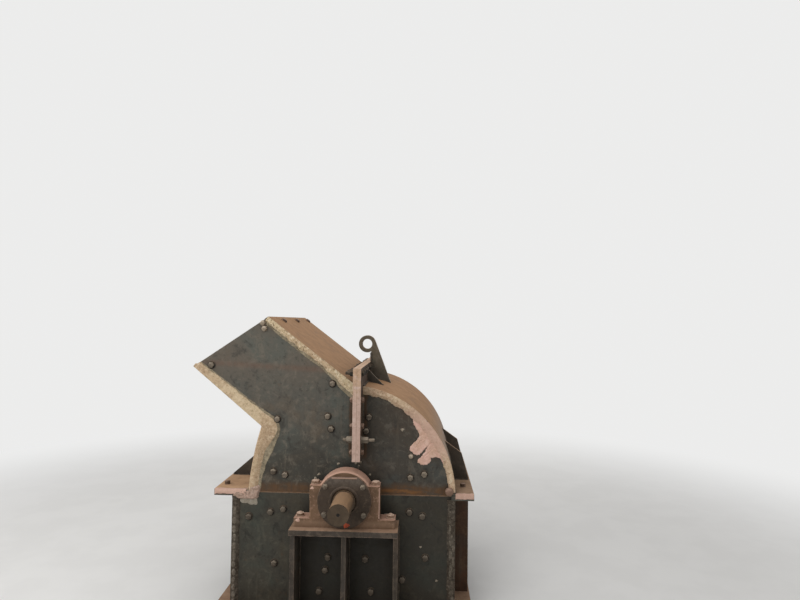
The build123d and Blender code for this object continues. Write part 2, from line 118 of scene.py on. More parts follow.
class FinishTree(NodeTree):
    # A material built up in layers, with helpers that hand back sockets

    def __init__(self, name):
        self.material = bpy.data.materials.new(name)
        super().__init__(self.material)
        self.shader = self.add("BsdfPrincipled")
        self.output = self.add("OutputMaterial", {"Surface": self.shader.outputs["BSDF"]})
        self.place = self.add("TexCoord").outputs["Object"]
        self.normal = self.add("NewGeometry").outputs["Normal"]
        self.colour = None

    def axis(self, vector, index):
        return self.add("SeparateXYZ", {"Vector": vector}).outputs[index]

    def scaled(self, *scale):
        return self.add("Mapping", {"Scale": scale, "Vector": self.place}).outputs["Vector"]

    def cloud(self, scale, detail=4, roughness=0.55, distortion=0, vector=None, seed=0):
        return self.add("TexNoise", {
            "Vector": vector or self.place, "W": seed, "Scale": scale, "Detail": detail,
            "Roughness": roughness, "Distortion": distortion,
        }, noise_dimensions="4D").outputs["Fac"]

    def ramp(self, value, low, high, start=0, end=1):
        return self.add("MapRange", {
            "Value": value, "From Min": low, "From Max": high, "To Min": start, "To Max": end,
        }, interpolation_type="SMOOTHSTEP").outputs["Result"]

    def times(self, first, second):
        return self.maths("MULTIPLY", first, second)

    def away(self, value):
        return self.maths("SUBTRACT", 1.0, value)

    def ragged(self, value, cloud, amount):
        # The value pushed up and down by a cloud, so that a border on it wanders
        return self.maths("ADD", value, self.times(self.maths("SUBTRACT", cloud, 0.5), amount))

    def band(self, value, low, high, soft):
        rise = self.ramp(value, low - soft, low + soft)
        return self.times(rise, self.ramp(value, high - soft, high + soft, 1, 0))

    def blend(self, share, first, second):
        return self.add("Mix", {0: share, 6: first, 7: second}, data_type="RGBA").outputs[2]

    def lay(self, share, tone, amount=1):
        # Lays a tone over the colour so far
        self.colour = self.blend(share if amount == 1 else self.times(share, amount), self.colour, tone)

    def edges(self, radius, low=0.004, high=0.06):
        # Share of wear where the surface turns over within this radius
        bevel = self.add("Bevel", {"Radius": radius}, samples=6).outputs["Normal"]
        turn = self.add("VectorMath", {0: bevel, 1: self.normal}, operation="DOT_PRODUCT")
        return self.ramp(self.away(turn.outputs["Value"]), low, high)

    def corners(self, distance):
        # Share of painted shade and grime where other surfaces stand close
        node = self.add("AmbientOcclusion", {"Distance": distance}, samples=8)
        return self.ramp(node.outputs["AO"], 0.35, 0.95, 1, 0)

    def bump(self, height, distance, strength=1, below=None):
        inputs = {"Strength": strength, "Distance": distance, "Height": height}
        if below is not None:
            inputs["Normal"] = below
        return self.add("Bump", inputs).outputs["Normal"]

    def finish(self, roughness, normal, metallic=0.0, shine=0.3):
        for key, value in (("Base Color", self.colour), ("Roughness", roughness), ("Normal", normal),
                           ("Metallic", metallic), ("Specular IOR Level", shine)):
            self.join(self.shader.inputs[key], value)
        return self.material


def plateFinish(name, look):
    # Hot rolled plate with clouds of cool and brown scale, streaks, rust, wear and dust, and painted shade in
    # corners and in the bays
    tree = FinishTree(name)
    seed = look["seed"]
    broad = tree.cloud(4.2, 5, 0.6, 0.6, seed=seed)
    blotch = tree.cloud(15, 6, 0.66, 0.9, seed=seed + 3)
    mottle = tree.cloud(46, 5, 0.7, 0.6, seed=seed + 5)
    grain = tree.cloud(240, 3, 0.6)
    streak = tree.cloud(1, 5, 0.64, 0.3, tree.scaled(36, 36, 2.4), seed=seed)
    spots = tree.cloud(24, 6, 0.7, 1.2, seed=seed + 9)
    x, z = tree.axis(tree.place, 0), tree.axis(tree.place, 2)
    rise = tree.ramp(z, look["lowTop"] - 0.2, look["lowTop"] + 0.1)
    tree.colour = tree.blend(rise, look["low"], look["middle"])
    for value, low, high, tone, amount in (
        (z, look["highFoot"], look["highFoot"] + 0.25, "high", 1),
        (broad, 0.48, 0.64, "cool", look["clouds"]),
        (broad, 0.48, 0.34, "warm", look["clouds"]),
        (blotch, 0.50, 0.66, "pale", look["patches"]),
        (blotch, 0.48, 0.32, "dark", look["patches"] * 1.3),
        (mottle, 0.54, 0.70, "pale", look["mottle"]),
        (mottle, 0.46, 0.30, "dark", look["mottle"] * 1.4),
        (streak, 0.52, 0.72, "streak", look["streaks"]),
        (grain, 0.35, 0.75, "pale", 0.12),
        (spots, 0.60, 0.70, "rust", look["rustSpots"]),
    ):
        tree.lay(tree.ramp(value, low, high), look[tone], amount)
    if "seamRust" in look:
        # brown band of rust and grime above the seam, with a brighter line low down on the right
        height = tree.ragged(z, blotch, 0.045)
        patch = tree.ramp(tree.cloud(1, 6, 0.66, 0.3, tree.scaled(7, 7, 30), seed=2), 0.36, 0.56, 0.35, 1)
        brown = tree.blend(tree.ramp(streak, 0.4, 0.7), look["belt"], look["beltDark"])
        belt = tree.band(height, axisZ - 0.020, axisZ + 0.042, 0.020)
        tree.lay(tree.times(belt, patch), brown, look["seamRust"])
        line = tree.times(tree.band(height, axisZ + 0.008, axisZ + 0.018, 0.008),
                          tree.band(x, axisX + 0.15, axisX + 0.36, 0.06))
        tree.lay(tree.times(line, patch), look["beltLine"], look["rustLine"])
        seam = tree.times(tree.band(z, axisZ - 0.0085, axisZ - 0.003, 0.0015), tree.ramp(streak, 0.35, 0.55))
        tree.lay(seam, look["seamEdge"], 0.7)
        # brown grime on both sides of the upright joint
        beside = tree.band(tree.ragged(x, blotch, 0.03), axisX + 0.002, axisX + 0.093, 0.007)
        tree.lay(tree.times(beside, tree.ramp(z, axisZ + 0.16, axisZ + 0.20)), brown, look["jointGrime"])
    if "redLine" in look:
        # faint red wash across the feed side
        slanted = tree.maths("ADD", z, tree.times(x, 0.05))
        wash = tree.band(slanted, look["redLine"], look["redLine"] + 0.012, 0.02)
        tree.lay(tree.times(wash, tree.ramp(streak, 0.3, 0.6, 0.25, 0.6)), look["wash"])
    # painted shade, with grime, darkens the plate where other surfaces stand close
    tree.lay(tree.corners(0.09), look["shadeAndGrimeColour"], look["cornerShadeAndGrime"])
    if "bayShade" in look:
        # painted shade: the bays under the bracket shelf are blackened
        bay = tree.times(tree.band(x, axisX - 0.245, axisX + 0.245, 0.015),
                         tree.ramp(z, axisZ - 0.15, axisZ - 0.17))
        tree.lay(bay, look["shadeAndGrimeColour"], look["bayShade"])
        # the plate also darkens towards its right end
        tree.lay(tree.ramp(x, axisX + 0.24, axisX + 0.34), look["shadeAndGrimeColour"], look["rightShade"])
    tree.lay(tree.times(tree.edges(0.004), tree.ramp(blotch, 0.38, 0.58)), look["edge"], look["edgeWear"])
    up = tree.axis(tree.normal, 2)
    settled = tree.times(tree.ramp(up, 0.08, 0.75), tree.ramp(blotch, 0.2, 0.5, 0.72, 1.0))
    dust = tree.blend(tree.ramp(blotch, 0.38, 0.62), look["dust"], look["dustPale"])
    dust = tree.blend(tree.ramp(mottle, 0.44, 0.30, 0, 0.35), dust, look["dustDark"])
    tree.lay(settled, dust, look["dustAmount"])
    rough = tree.maths("MAXIMUM", tree.ramp(blotch, 0.36, 0.66, look["smooth"], look["rough"]),
                       tree.times(settled, 0.95))
    scale = tree.bump(mottle, 0.0007, 0.5, tree.bump(grain, 0.0004, 0.6))
    return tree.finish(rough, tree.bump(blotch, 0.0016, 0.5, scale), look["metallic"], look["shine"])


def tones(*colours):
    return dict(zip(("low", "middle", "high", "cool", "warm", "pale", "dark"), colours))


plateLook = {
    "seed": 1,
    **tones((61, 58, 51), (84, 82, 75), (96, 89, 79), (82, 88, 82), (95, 82, 68), (120, 112, 100),
            (50, 48, 43)),
    "lowTop": 0.94, "highFoot": 1.05,  # heights in metres where the low tone ends and the high one starts
    "clouds": 0.6, "patches": 0.62, "mottle": 0.42,
    "streak": (112, 102, 88), "streaks": 0.3,
    "rust": (104, 74, 50), "rustSpots": 0.3,
    "belt": (98, 69, 42), "beltDark": (79, 58, 40), "beltLine": (134, 90, 48), "seamEdge": (134, 102, 78),
    "wash": (116, 78, 62),
    "cornerShadeAndGrime": 0.55, "shadeAndGrimeColour": (34, 30, 25),
    "edge": (140, 124, 106), "edgeWear": 0.6,
    "dust": (142, 112, 87), "dustPale": (158, 127, 100), "dustDark": (112, 88, 68), "dustAmount": 0.92,
    "smooth": 0.48, "rough": 0.78, "metallic": 0.1, "shine": 0.25,
}
plates = {
    "feedPlate": {"seamRust": 0.75, "rustLine": 0.0, "jointGrime": 0.8, "redLine": 1.232},
    "coverPlate": {
        "seed": 4, "seamRust": 0.9, "rustLine": 0.9, "jointGrime": 0.8,
        **tones((66, 61, 54), (64, 58, 50), (74, 67, 57), (70, 76, 73), (76, 63, 51), (102, 96, 87),
                (42, 39, 34)),
    },
    "lowerPlate": {
        "seed": 7, "streak": (80, 76, 64), "streaks": 0.35, "lowTop": 0.2, "bayShade": 0.7, "rightShade": 0.42,
        **tones((54, 51, 43), (64, 61, 53), (66, 63, 55), (60, 66, 59), (70, 62, 49), (90, 86, 75),
                (38, 36, 31)),
    },
    "framePlate": {
        "seed": 11, "lowTop": 0.42, "edge": (124, 108, 94), "edgeWear": 0.95, "cornerShadeAndGrime": 0.4,
        "dust": (154, 123, 99), "dustPale": (170, 139, 114),
        **tones((56, 49, 41), (68, 60, 51), (78, 69, 59), (66, 61, 56), (80, 65, 51), (98, 86, 75),
                (40, 35, 29)),
    },
    # reddish-brown tones on the lower end ribs are a painted reflection of reddish light; the spots are rust
    "reddishPlate": {
        "seed": 41, "rust": (112, 66, 40), "rustSpots": 0.6, "cornerShadeAndGrime": 0.35,
        **tones((74, 51, 35), (80, 56, 39), (84, 62, 46), (68, 54, 43), (92, 58, 38), (104, 82, 64),
                (48, 35, 26)),
    },
    # paler worn edges than the frame plate: wear, and a painted highlight along the shelf's front edge
    "shelfPlate": {
        "seed": 12, "edge": (142, 122, 107), "edgeWear": 0.95, "cornerShadeAndGrime": 0.3,
        "dust": (150, 121, 98), "dustPale": (168, 138, 114),
        **tones((64, 56, 48), (69, 60, 52), (72, 63, 54), (70, 63, 57), (80, 65, 52), (102, 90, 79),
                (46, 39, 32)),
    },
    "ribPlate": {
        "seed": 18, "high": (82, 74, 64), "edge": (132, 122, 110), "edgeWear": 0.8,
        "dust": (126, 110, 94), "dustPale": (140, 124, 108), "dustAmount": 0.5,
    },
    "flangePlate": {
        "seed": 27, "cornerShadeAndGrime": 0.35,
        "dust": (142, 115, 91), "dustPale": (158, 130, 105), "dustDark": (108, 86, 67), "dustAmount": 1.0,
    },
    # paler dust on the left flanges: real dust, brightened as painted light falling from the left
    "paleFlangePlate": {
        "seed": 29, "cornerShadeAndGrime": 0.25,
        "dust": (190, 151, 116), "dustPale": (204, 167, 132), "dustDark": (156, 122, 90), "dustAmount": 1.0,
    },
    "dustyPlate": {
        "seed": 15, "low": (72, 64, 54), "middle": (84, 74, 62), "dustAmount": 1.0,
        "dust": (155, 118, 84), "dustPale": (169, 131, 96), "dustDark": (126, 95, 68),
    },
    "lugPlate": {
        "seed": 19, "high": (94, 84, 69), "cool": (86, 82, 70), "warm": (98, 84, 66),
        "edge": (142, 126, 108), "edgeWear": 0.9,
    },
}
finishes = {name: plateFinish(name, {**plateLook, **look}) for name, look in plates.items()}


def finishRows(make, base, columns, rows, extras):
    # One finish for each row of numbers, under the names of its columns
    for name, row in rows.items():
        finishes[name] = make(name, {**base, **dict(zip(columns, row)), **extras.get(name, {})})


def puttyFinish(name, look):
    # Filler with grit in it, darker pits and paler grains
    tree = FinishTree(name)
    seed = look["seed"]
    broad = tree.cloud(7, 5, 0.6, 0.5, seed=seed)
    blotch = tree.cloud(32, 6, 0.65, 0.6, seed=seed + 2)
    grit = tree.cloud(88, 4, 0.72, 0.4, seed=seed + 4)
    grain = tree.cloud(430, 3, 0.6)
    tree.colour = tree.blend(tree.ramp(broad, 0.40, 0.60), look["cream"], look["tan"])
    if "tanFrom" in look:
        upper = tree.ragged(tree.axis(tree.place, 2), blotch, 0.2)
        tree.lay(tree.ramp(upper, look["tanFrom"], look["tanFrom"] + 0.16), look["topTan"])
    paleness, grains, pits = 0.8, look["grains"], look["pits"]
    if "pinkBetween" in look:
        # smooth and pink between these heights, gritty and cream above and below
        pinkness = tree.band(tree.ragged(tree.axis(tree.place, 2), blotch, 0.12), *look["pinkBetween"], 0.06)
        tree.lay(pinkness, look["pink"], 0.85)
        calm = tree.away(tree.times(pinkness, 0.7))
        paleness, grains, pits = (tree.times(calm, amount) for amount in (paleness, grains, pits))
    for share, tone, amount in (
        (tree.ramp(blotch, 0.50, 0.72), "pale", paleness),
        (tree.ramp(blotch, 0.46, 0.30), "dirtAndShadeColour", look["dirt"]),
        (tree.ramp(grit, 0.53, 0.61), "pale", grains),
        (tree.ramp(grit, 0.45, 0.38), "dirtAndShadeColour", pits),
        # painted shade in the hollows and finger grooves
        (tree.corners(0.012), "dirtAndShadeColour", look["hollowShade"]),
    ):
        tree.lay(share, look[tone], amount)
    if "seamAt" in look:
        # thin line where the two flanges meet
        line = tree.band(tree.axis(tree.place, 0), look["seamAt"] - 0.0009, look["seamAt"] + 0.0009, 0.0006)
        tree.lay(line, look["dirtAndShadeColour"], 0.6)
    if "bareFaces" in look:
        # the broad faces were never smeared, only the edges
        sideways = tree.maths("ABSOLUTE", tree.axis(tree.normal, 0))
        bare = tree.blend(tree.ramp(blotch, 0.36, 0.64), look["bareFaces"], look["bareDark"])
        tree.lay(tree.ramp(sideways, 0.5, 0.8), bare)
    height = tree.maths("ADD", tree.times(blotch, 0.6), tree.times(grit, 0.4))
    normal = tree.bump(height, look["bumps"], 0.8, tree.bump(grain, 0.0003, 0.5))
    return tree.finish(tree.ramp(blotch, 0.3, 0.7, 0.78, 0.95), normal, 0.0, 0.2)


puttyColumns = ("seed", "cream", "tan", "pale", "dirt", "dirtAndShadeColour", "grains", "pits", "bumps")
putties = {
    "grittyPutty": (2, (206, 185, 150), (192, 166, 134), (226, 210, 182), 0.4, (120, 98, 74), 0.9, 0.9,
                    0.0026),
    "coverPutty": (6, (200, 174, 144), (190, 160, 132), (226, 210, 182), 0.25, (120, 98, 74), 0.5, 0.6,
                   0.0026),
    "tanPutty": (3, (204, 182, 149), (187, 160, 130), (224, 205, 176), 0.3, (120, 98, 74), 0.5, 0.45, 0.0018),
    "pinkPutty": (5, (209, 173, 155), (199, 163, 145), (220, 192, 176), 0.2, (146, 118, 100), 0.2, 0.15,
                  0.0014),
    "coverSmear": (35, (224, 183, 167), (208, 171, 149), (236, 206, 192), 0.3, (160, 126, 106), 0.25, 0.2,
                   0.0018),
    "cornerPutty": (37, (180, 153, 138), (164, 139, 122), (206, 186, 172), 0.5, (122, 102, 88), 0.3, 0.35,
                    0.0016),
    "greySmear": (14, (146, 134, 112), (124, 112, 92), (184, 171, 146), 0.6, (92, 84, 70), 0.5, 0.6, 0.0012),
    "primedFlange": (8, (198, 170, 156), (188, 159, 144), (210, 186, 174), 0.3, (126, 100, 82), 0.25, 0.3,
                     0.0009),
    "greyWeld": (12, (81, 74, 65), (69, 60, 50), (114, 105, 94), 0.7, (44, 39, 33), 0.5, 0.7, 0.0026),
    "paleWeld": (16, (112, 104, 93), (98, 89, 78), (148, 139, 126), 0.5, (56, 49, 42), 0.5, 0.5, 0.0014),
    "dullWeld": (39, (99, 91, 80), (85, 76, 65), (132, 123, 109), 0.6, (50, 45, 38), 0.6, 0.6, 0.002),
}
puttyExtras = {
    "coverPutty": {"pinkBetween": (axisZ + 0.19, axisZ + 0.41), "pink": (208, 172, 154)},
    "coverSmear": {"hollowShade": 0.8},
    "primedFlange": {
        "seamAt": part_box("cover_joint_flange")[0].x, "tanFrom": axisZ + 0.44, "topTan": (194, 162, 134),
        "bareFaces": (84, 66, 52), "bareDark": (62, 50, 41),
    },
}
finishRows(puttyFinish, {"hollowShade": 0.25}, puttyColumns, putties, puttyExtras)


def castFinish(name, look):
    # Cast iron and bolt steel with sandy grain, smears on upward faces, a painted highlight on the top facets
    # of bolt heads, and painted shade in corners
    tree = FinishTree(name)
    seed = look["seed"]
    broad = tree.cloud(9, 5, 0.6, 0.4, seed=seed)
    blotch = tree.cloud(48, 6, 0.68, 0.8, seed=seed + 1)
    flecks = tree.cloud(60, 5, 0.7, 1.5, seed=seed + 6)
    z = tree.axis(tree.place, 2)
    tree.colour = tree.blend(tree.ramp(broad, 0.38, 0.62), look["dark"], look["mid"])
    tree.lay(tree.ramp(blotch, 0.5, 0.7), look["pale"], 0.6)
    # paler on upward faces: real smears on the castings, and on the bolt heads a painted highlight on the top
    # facets
    smear = tree.ragged(tree.axis(tree.normal, 2), blotch, 0.9)
    tree.lay(tree.ramp(smear, -0.05, 0.5), look["smear"], look["smearAndHighlightAmount"])
    tree.lay(tree.ramp(flecks, 0.60, 0.66), look["smear"], look["flecks"])
    # lower part blended to another tone: dust on the bearing block, painted shade on the bolt heads
    if "dustAndShadeBelow" in look:
        tree.lay(tree.ramp(z, look["dustAndShadeBelow"], look["dustAndShadeBelow"] - 0.02), look["footDustAndShade"], 0.5)
    # paler above this height, in patches
    if "paleAbove" in look:
        film = tree.ramp(z, look["paleAbove"], look["paleAbove"] + 0.07)
        tree.lay(film, look["film"], tree.ramp(blotch, 0.36, 0.6, 0.35, 0.75))
    tree.lay(tree.times(tree.edges(0.003), tree.ramp(blotch, 0.4, 0.6)), look["edge"], 0.55)
    # painted shade in corners
    tree.lay(tree.corners(0.03), look["dark"], 0.5)
    normal = tree.bump(blotch, 0.0012, 0.6, tree.bump(tree.cloud(520, 2, 0.7), 0.0005, 0.8))
    return tree.finish(tree.ramp(blotch, 0.3, 0.7, 0.55, 0.85), normal, look["metallic"])


castColumns = ("seed", "dark", "mid", "pale", "smear", "smearAndHighlightAmount", "flecks", "edge")
castings = {
    "bearingIron": (3, (92, 70, 51), (116, 90, 68), (142, 114, 91), (188, 150, 130), 0.95, 0.4,
                    (164, 136, 114)),
    "coverIron": (9, (50, 39, 29), (67, 55, 44), (92, 79, 65), (116, 100, 85), 0.45, 0.06, (128, 108, 88)),
    "wearSteel": (13, (52, 49, 45), (68, 64, 58), (92, 86, 78), (118, 92, 66), 0.35, 0.4, (150, 144, 134)),
    # bolt heads: the pale upward smear is a painted highlight on the top facets
    "boltHead": (17, (80, 70, 59), (118, 107, 93), (164, 153, 136), (178, 163, 144), 0.65, 0.35,
                 (172, 156, 138)),
    # very dark washers under the liner bolts: painted shadow round the heads
    "darkBolt": (21, (34, 31, 26), (50, 46, 38), (74, 66, 54), (112, 92, 72), 0.5, 0.25, (128, 112, 94)),
    "brownBolt": (25, (76, 59, 47), (100, 80, 66), (130, 107, 90), (158, 130, 111), 0.6, 0.35,
                  (154, 132, 114)),
    "pastedBolt": (33, (112, 98, 82), (152, 138, 120), (194, 180, 160), (210, 194, 174), 0.9, 0.8,
                   (164, 136, 114)),
    "smearedBrownBolt": (31, (92, 70, 56), (124, 98, 82), (160, 132, 114), (182, 152, 134), 0.7, 0.5,
                         (164, 136, 114)),
    "smearedBolt": (23, (110, 86, 68), (150, 122, 102), (186, 160, 140), (206, 178, 158), 0.9, 0.8,
                    (164, 136, 114)),
}
castExtras = {
    "bearingIron": {"dustAndShadeBelow": axisZ - 0.088, "footDustAndShade": (146, 120, 98)},
    "coverIron": {"paleAbove": axisZ + 0.045, "film": (110, 100, 91)},
    "wearSteel": {"metallic": 0.3},
    # painted shade: bolt heads below the shaft axis are darkened
    "boltHead": {"dustAndShadeBelow": axisZ - 0.02, "footDustAndShade": (62, 54, 45)},
}
finishRows(castFinish, {"metallic": 0.05}, castColumns, castings, castExtras)


def turnedFinish(name, look):
    # Bare turned steel with tool rings, a brown film, and a centre hole in each end painted dark as shade
    tree = FinishTree(name)
    rings = tree.cloud(1, 3, 0.6, 0, tree.scaled(6, 620, 6))
    blotch = tree.cloud(22, 6, 0.66, 0.7)
    film = tree.cloud(90, 4, 0.7, 0.4)
    tree.colour = tree.blend(tree.ramp(blotch, 0.38, 0.62), look["dark"], look["mid"])
    tree.lay(tree.ramp(rings, 0.45, 0.65), look["bright"], 0.35)
    tree.lay(tree.times(tree.ramp(tree.axis(tree.normal, 2), 0.0, 0.8), tree.ramp(film, 0.3, 0.55, 0.6, 1)),
             look["dust"], 0.9)
    tree.lay(tree.edges(0.002), look["bright"], 0.5)
    aside = tree.maths("SUBTRACT", tree.axis(tree.place, 0), axisX)
    rise = tree.maths("SUBTRACT", tree.axis(tree.place, 2), axisZ)
    out = tree.maths("SQRT", tree.maths("ADD", tree.times(aside, aside), tree.times(rise, rise)))
    reach = tree.maths("ABSOLUTE", tree.axis(tree.place, 1))
    endFace = tree.ramp(reach, look["endFace"] - 0.002, look["endFace"] - 0.001)
    # the centre hole is painted near black: painted shade in the recess
    hole = tree.times(tree.ramp(out, 0.0085, 0.0065), endFace)
    tree.lay(endFace, look["end"], 0.65)
    tree.lay(hole, look["hole"])
    turning = tree.maths("SINE", tree.times(out, 1400))
    normal = tree.bump(tree.times(turning, endFace), 0.0002, 0.4)
    normal = tree.bump(rings, 0.0003, 0.5, tree.bump(film, 0.0004, 0.4, normal))
    normal = tree.bump(tree.away(hole), 0.004, 0.8, normal)
    return tree.finish(tree.ramp(film, 0.3, 0.7, 0.34, 0.6), normal, look["metallic"])


finishes["turnedSteel"] = turnedFinish("turnedSteel", {
    "dark": (74, 62, 49), "mid": (98, 82, 65), "bright": (142, 122, 100), "dust": (176, 142, 110),
    "end": (66, 53, 39), "hole": (24, 20, 17),
    "endFace": 0.768,  # metres from the middle to the shaft's end
    "metallic": 0.25,
})

daubs = {
    "paleDaub": ((132, 120, 104), (168, 156, 138)),
    "greyDaub": ((142, 133, 118), (166, 158, 144)),
    "orangeDaub": ((140, 62, 38), (176, 78, 48)),
}
for name, (colour, pale) in daubs.items():
    tree = FinishTree(name)
    blotch = tree.cloud(70, 5, 0.65, 0.5)
    tree.colour = tree.blend(tree.ramp(blotch, 0.4, 0.65), colour, pale)
    finishes[name] = tree.finish(tree.ramp(blotch, 0.3, 0.7, 0.6, 0.85), tree.bump(blotch, 0.001, 0.7))
print("finishes made,", len(finishes))

# Which finish each solid gets, with front and back solids under one name
solidFinishes = {
    "feedPlate": "feed_side_plate",
    "coverPlate": "cover_side_plate",
    "lowerPlate": "lower_side_plate lower_left_wall lower_right_wall",
    "framePlate": "base_frame bracket_ribs feed_end_ribs cover_end_ribs",
    "reddishPlate": "lower_end_ribs",
    "shelfPlate": "bracket_shelf",
    "ribPlate": "cover_joint_ribs feed_joint_ribs",
    "dustyPlate": "chute_top_plate chute_bottom_plate cover_shell feed_wall",
    "flangePlate": "cover_seam_flange lower_right_flange",
    "paleFlangePlate": "feed_seam_flange lower_left_flange",
    "primedFlange": "feed_joint_flange cover_joint_flange",
    "lugPlate": "lifting_lug",
    "bearingIron": "bearing_base bearing_cap",
    "coverIron": "end_cover",
    "turnedSteel": "rotor_shaft rotor_sleeve hammer_pins",
    "wearSteel": "rotor_discs hammers grate_bars grate_rails side_liners cover_liner breaker_plate",
}
finished = 0
for finishName, members in solidFinishes.items():
    names = [prefix + member for member in members.split() for prefix in ("", "front_", "back_")]
    for solid in [nodes[name] for name in names if name in nodes]:
        solid.data.materials.clear()
        solid.data.materials.append(finishes[finishName])
        finished += 1
print("solids finished,", finished, "of", len(nodes))

batches = {}


def batchOf(name):
    # The points and faces gathered so far for a piece
    return batches.setdefault(name, {"points": [], "faces": []})


def addRings(batch, rings, closed=True, capStart=True, capEnd=True):
    # Rings of points, each joined to the next by quads
    start = len(batch["points"])
    count = len(rings[0])
    for ring in rings:
        batch["points"].extend(ring)
    for row in range(len(rings) - 1):
        for step in range(count if closed else count - 1):
            a = start + row * count + step
            b = start + row * count + (step + 1) % count
            batch["faces"].append((a, b, b + count, a + count))
    if capStart:
        batch["faces"].append(tuple(reversed(range(start, start + count))))
    if capEnd:
        last = start + (len(rings) - 1) * count
        batch["faces"].append(tuple(range(last, last + count)))


def addSheet(batch, rows, side):
    # Rows of points on the front or back of the machine, turned to face outward
    addRings(batch, rows if side < 0 else rows[::-1], False, False, False)


def facing(spot, direction, turn=0.0):
    # Matrix that stands a piece on a spot with its own z along a direction
    rotation = Vector(direction).to_track_quat("Z", "Y").to_matrix().to_4x4()
    return Matrix.Translation(spot) @ rotation @ Matrix.Rotation(turn, 4, "Z")


def onCircle(place, angle, radius, height):
    return place @ Vector((radius * math.cos(angle) * mm, radius * math.sin(angle) * mm, height * mm))


def evenTurns(count):
    return [2 * math.pi * step / count for step in range(count)]


def addTurned(batch, place, profile, count, capStart=False, capEnd=True):
    # Round shape from a profile of (radius, height)
    rings = [[onCircle(place, angle, radius, height) for angle in evenTurns(count)]
             for radius, height in profile]
    addRings(batch, rings, True, capStart, capEnd)


def addHex(batch, place, flats, height, bore=0.0, roughness=0.0, seed=0):
    # Hexagon head or nut with the corners turned off at the top
    rows = []
    for level in ("foot", "shoulder", "rim", "middle"):
        ring = []
        for angle in evenTurns(24):
            radius = flats / 2 / math.cos((angle + math.pi / 6) % (math.pi / 3) - math.pi / 6)
            rise = 0
            if level == "shoulder":
                rise = height - 0.55 * (radius - flats / 2) - 0.06 * height
            elif level == "rim":
                radius = flats / 2 * 0.93
                rise = height
            elif level == "middle":
                radius = max(bore, flats * 0.22)
                rise = height + (0 if bore else 0.04 * flats)
            radius *= 1 + roughness * noise.noise(Vector((angle * 2, height + seed, rise * 0.3)))
            ring.append(onCircle(place, angle, radius, rise))
        rows.append(ring)
    addRings(batch, rows, True, False, True)


def addWasher(batch, place, radius, thickness):
    addTurned(batch, place, [
        (radius * 0.99, 0), (radius, thickness * 0.3), (radius * 0.985, thickness * 0.8),
        (radius * 0.94, thickness), (radius * 0.5, thickness),
    ], 28)


def addStudEnd(batch, place, radius, start, length, pitch=3.0):
    # Thread shown as shallow ridges, with a small chamfer on the end
    profile = [(radius * 0.9, start)]
    height = start
    while height < start + length - pitch:
        profile += [(radius, height + pitch * 0.35), (radius * 0.9, height + pitch * 0.85)]
        height += pitch
    profile += [(radius * 0.95, start + length - radius * 0.15), (radius * 0.75, start + length)]
    addTurned(batch, place, profile, 16)


def lineThrough(corners, step):
    # Points at even steps along a run of straight stretches
    points = []
    for first, second in zip(corners, corners[1:]):
        first, second = Vector(first), Vector(second)
        count = max(2, int((second - first).length / step))
        points += [first.lerp(second, place / count) for place in range(count)]
    return points + [Vector(corners[-1])]


def arcThrough(start, middle, end, step):
    # Points along the circle through three places in the plane
    ax, az = start
    bx, bz = middle
    cx, cz = end
    d = 2 * (ax * (bz - cz) + bx * (cz - az) + cx * (az - bz))
    ux = ((ax**2 + az**2) * (bz - cz) + (bx**2 + bz**2) * (cz - az) + (cx**2 + cz**2) * (az - bz)) / d
    uz = ((ax**2 + az**2) * (cx - bx) + (bx**2 + bz**2) * (ax - cx) + (cx**2 + cz**2) * (bx - ax)) / d
    radius = math.hypot(ax - ux, az - uz)
    first = math.atan2(az - uz, ax - ux)
    sweep = (math.atan2(cz - uz, cx - ux) - first + math.pi) % (2 * math.pi) - math.pi
    count = max(3, int(abs(sweep) * radius / step))
    return [Vector((ux + radius * math.cos(first + sweep * i / count),
                    uz + radius * math.sin(first + sweep * i / count))) for i in range(count + 1)]


def directionAt(points, place):
    # Way along a run of points
    return (points[min(len(points) - 1, place + 1)] - points[max(0, place - 1)]).normalized()


def inwardOf(line):
    # Unit vectors square to the line, on the inner side
    ways = [directionAt(line, place) for place in range(len(line))]
    return [Vector((way.y, -way.x)) for way in ways]


def between(value, places, amounts):
    # Amount read off between given places
    if value <= places[0]:
        return amounts[0]
    for low, high, first, second in zip(places, places[1:], amounts, amounts[1:]):
        if value <= high:
            return first + (second - first) * (value - low) / (high - low)
    return amounts[-1]


puttyBand = {
    "step": 4,  # millimetres between rows
    "overEdge": 1.8,  # putty thickness on the plate's edge
    "edgeLumps": 1.6,
    "lumps": 2.6,  # height of the lumps in the corner
    "ragged": 5.0,  # how far the inner border wanders
    "fullness": 1.4,
    "setBack": 0.5,  # how far behind the chute's mouth the putty ends
}
softBand = {**puttyBand, "edgeLumps": 1.2, "lumps": 1.4, "ragged": 3.5, "fullness": 1.2}
lumpyBand = {**puttyBand, "edgeLumps": 2.0, "lumps": 4.2, "ragged": 6.0, "fullness": 1.7}
# Widths of the putty and of the wiped layer, by height, by place along the run or by angle
bandWidths = {
    "wall": {"places": (60, 150, 230, 300), "bead": (46, 46, 56, 84), "smear": (59, 70, 90, 98)},
    "knee": {"places": (0, 16), "bead": (86, 62), "smear": (99, 74)},
    "lower": {"places": (0, 90, 300, 470), "bead": (62, 56, 46, 35), "smear": (74, 64, 52, 41)},
    "upper": {"places": (0, 40, 90, 200, 300, 560), "bead": (66, 50, 38, 31, 33, 31),
              "smear": (86, 70, 54, 42, 47, 42), "turn": 70},  # rows turn upright over this last stretch
    "cover": {"places": (0, 8, 20, 34, 46, 64, 83), "bead": (33, 34, 40, 56, 48, 40, 44),
              "stop": 13},  # height over the shaft axis where the putty stops
}
lip, top, topEnd, knee = (Vector(housing[key]) for key in ("lip", "top", "topEnd", "knee"))
mouth = (top - lip).normalized()
lowerAlong, upperAlong = (knee - lip).normalized(), (topEnd - top).normalized()


def cutAtMouth(point, along):
    # Keeps putty behind the open end of the chute
    square = Vector((mouth.y, -mouth.x))
    ahead = (lip - point).dot(square)
    return point if ahead <= 0 else point + along * (ahead / along.dot(square))


